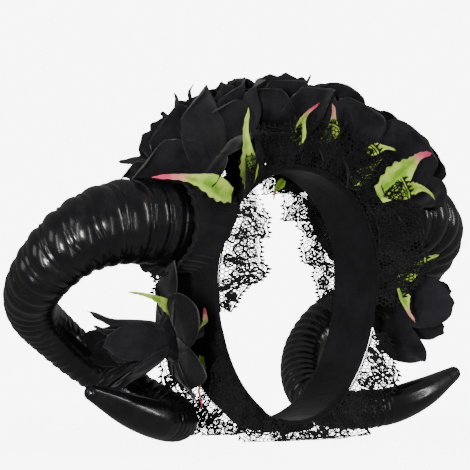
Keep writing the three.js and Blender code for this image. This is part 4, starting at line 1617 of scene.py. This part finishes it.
SOFT_BOXES = (
    SoftBox("key_box", (-2.1, -1.3, 0.18), (0, 0, 0.12), 0.22, 0.6, 36.0, True),
    SoftBox("left_strip", (-2.2, -0.5, 0.3), (0, 0, 0.12), 0.14, 2.2, 9.0, True),
    SoftBox("right_strip", (-0.8, -2.2, 0.3), (0, 0, 0.12), 0.12, 2.0, 5.0, True),
    SoftBox("left_box", (-2.2, 0.9, 0.9), (0, 0, 0.12), 0.9, 1.1, 5.0, True),
    SoftBox("far_strip", (1.7, -1.5, 0.9), (0.1, 0, 0.14), 0.1, 1.5, 8.0, True),
    SoftBox("fill_box", (-0.6, -2.2, 0.5), (0, 0, 0.1), 1.0, 1.0, 16.0, False),
    SoftBox("top_box", (0.0, -0.1, 1.7), (0, 0, 0.1), 1.2, 0.9, 12.0, False),
    SoftBox("back_box", (0.9, 1.7, 1.0), (0, 0, 0.12), 0.9, 0.9, 8.0, False),
)


@dataclass
class Studio:
    """Camera, lights, floor and backdrop, in metres and degrees."""

    azimuth: float = -45.0
    elevation: float = 1.0
    distance: float = 2.4
    view_width: float = 0.2726
    sensor: float = 36.0
    aim: tuple[float, float, float] = (0.0, 0.0, 0.110)
    aim_right: float = -0.0249
    aim_up: float = 0.0071
    air_light: float = 0.16
    air_seen: float = 8.0

    def build(self, drawing: Drawing) -> None:
        """Makes the whole studio round the object."""
        self._camera(drawing)
        self._paper()
        for box in SOFT_BOXES:
            box.hang()
        self._air()

    def _camera(self, drawing: Drawing) -> None:
        """Sets the camera at the photograph's angle and framing."""
        a, e = math.radians(self.azimuth), math.radians(self.elevation)
        back = Vector((math.sin(a) * math.cos(e), -math.cos(a) * math.cos(e), math.sin(e)))
        right = Vector((math.cos(a), math.sin(a), 0))
        up = back.cross(right)
        target = Vector(self.aim) + Vector(drawing.shift) + right * self.aim_right + up * self.aim_up
        data = bpy.data.cameras.new("camera")
        data.sensor_width = self.sensor
        data.lens = self.sensor * self.distance / self.view_width
        data.clip_start, data.clip_end = 0.1, 60.0
        camera = bpy.data.objects.new("camera", data)
        bpy.context.scene.collection.objects.link(camera)
        camera.location = target + back * self.distance
        camera.rotation_mode = "QUATERNION"
        camera.rotation_quaternion = back.to_track_quat("Z", "Y")
        bpy.context.scene.camera = camera

    def _paper(self) -> None:
        """Lays the floor, a round sheet of paper that fades out into the air."""
        angle = np.linspace(0, 2 * math.pi, 96, endpoint=False)
        radii = np.linspace(0.05, StudioPaper.reach, 24)
        x, y = np.outer(radii, np.cos(angle)), np.outer(radii, np.sin(angle))
        batch = MeshBatch()
        batch.add(np.stack([x, y, np.zeros_like(x)], -1) / MM, grid_faces(*x.shape, wrap=True))
        batch.faces.append(np.arange(len(angle))[None])
        floor = batch.build("floor", Drawing((0.0, 0.0, 0.0)), StudioPaper().build())
        floor.visible_diffuse = floor.visible_glossy = False

    def _air(self) -> None:
        """Fills the studio with white air, bright to the camera and dim to the object."""
        world = bpy.data.worlds.new("studio_air")
        bpy.context.scene.world = world
        world.use_nodes = True
        tree = world.node_tree
        background = next(n for n in tree.nodes if n.type == "BACKGROUND")
        path = tree.nodes.new("ShaderNodeLightPath")
        strength = tree.nodes.new("ShaderNodeMapRange")
        strength.inputs["To Min"].default_value = self.air_light
        strength.inputs["To Max"].default_value = self.air_seen
        tree.links.new(path.outputs["Is Camera Ray"], strength.inputs["Value"])
        tree.links.new(strength.outputs["Result"], background.inputs["Strength"])
        background.inputs["Color"].default_value = (1.0, 1.0, 1.0, 1.0)


def settle(made: bpy.types.Object, slot: str, *nodes: str) -> None:
    """Rides a piece on the body and puts it in its CAD nodes' place."""
    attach(made, BODY)
    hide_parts(*nodes)
    LOG.info("%s stands for %s, %d faces", made.name, ", ".join(nodes), len(made.data.polygons))


def main() -> None:
    """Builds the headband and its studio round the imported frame."""
    logging.basicConfig(level=logging.INFO, format="%(name)s: %(message)s")
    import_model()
    drawing = Drawing.from_frame()
    Studio().build(drawing)

    petal_cloth = WovenCloth(
        "petal_cloth", dark=(0.0028, 0.0027, 0.0034), light=(0.02, 0.0191, 0.0238),
        weave_scale=2600.0, weave_depth=0.00012, sheen=0.14,
    ).build()
    ribbon = WovenCloth(
        "ribbon_cloth", dark=(0.006, 0.006, 0.007), light=(0.015, 0.0147, 0.0168),
        weave_scale=2200.0, weave_depth=0.0001, sheen=0.08, rib=400.0,
    ).build()
    thread = LaceThread().build()
    gloss = HornGloss().build()
    sepal_cloths = {tint: SepalCloth(tint).build() for tint in Tint}

    hoop = Hoop()
    settle(Band(hoop).build(drawing, ribbon), "ribbon", "band")
    horns = Horns(hoop)
    cuffs = Cuffs(horns)
    for hand in Hand:
        settle(horns.build(hand, drawing, gloss), "horn", f"horn_{hand.side}")
        settle(cuffs.build(hand, drawing, ribbon), "ribbon", f"cuff_{hand.side}")
    garland = Garland(hoop)
    for seed, rose in enumerate(ROSES):
        settle(garland.build(rose, seed, drawing, petal_cloth), "rose_cloth", rose.node)
    foliage = Foliage(hoop)
    for seed, sepal in enumerate(SEPALS):
        settle(foliage.build(sepal, seed, drawing, sepal_cloths[sepal.tint]), "sepal", sepal.node)
    edging = LaceEdging(hoop)
    for ruffle in RUFFLES:
        settle(edging.build(ruffle, drawing, thread), "lace", ruffle.node)


if __name__ == "__main__":
    main()
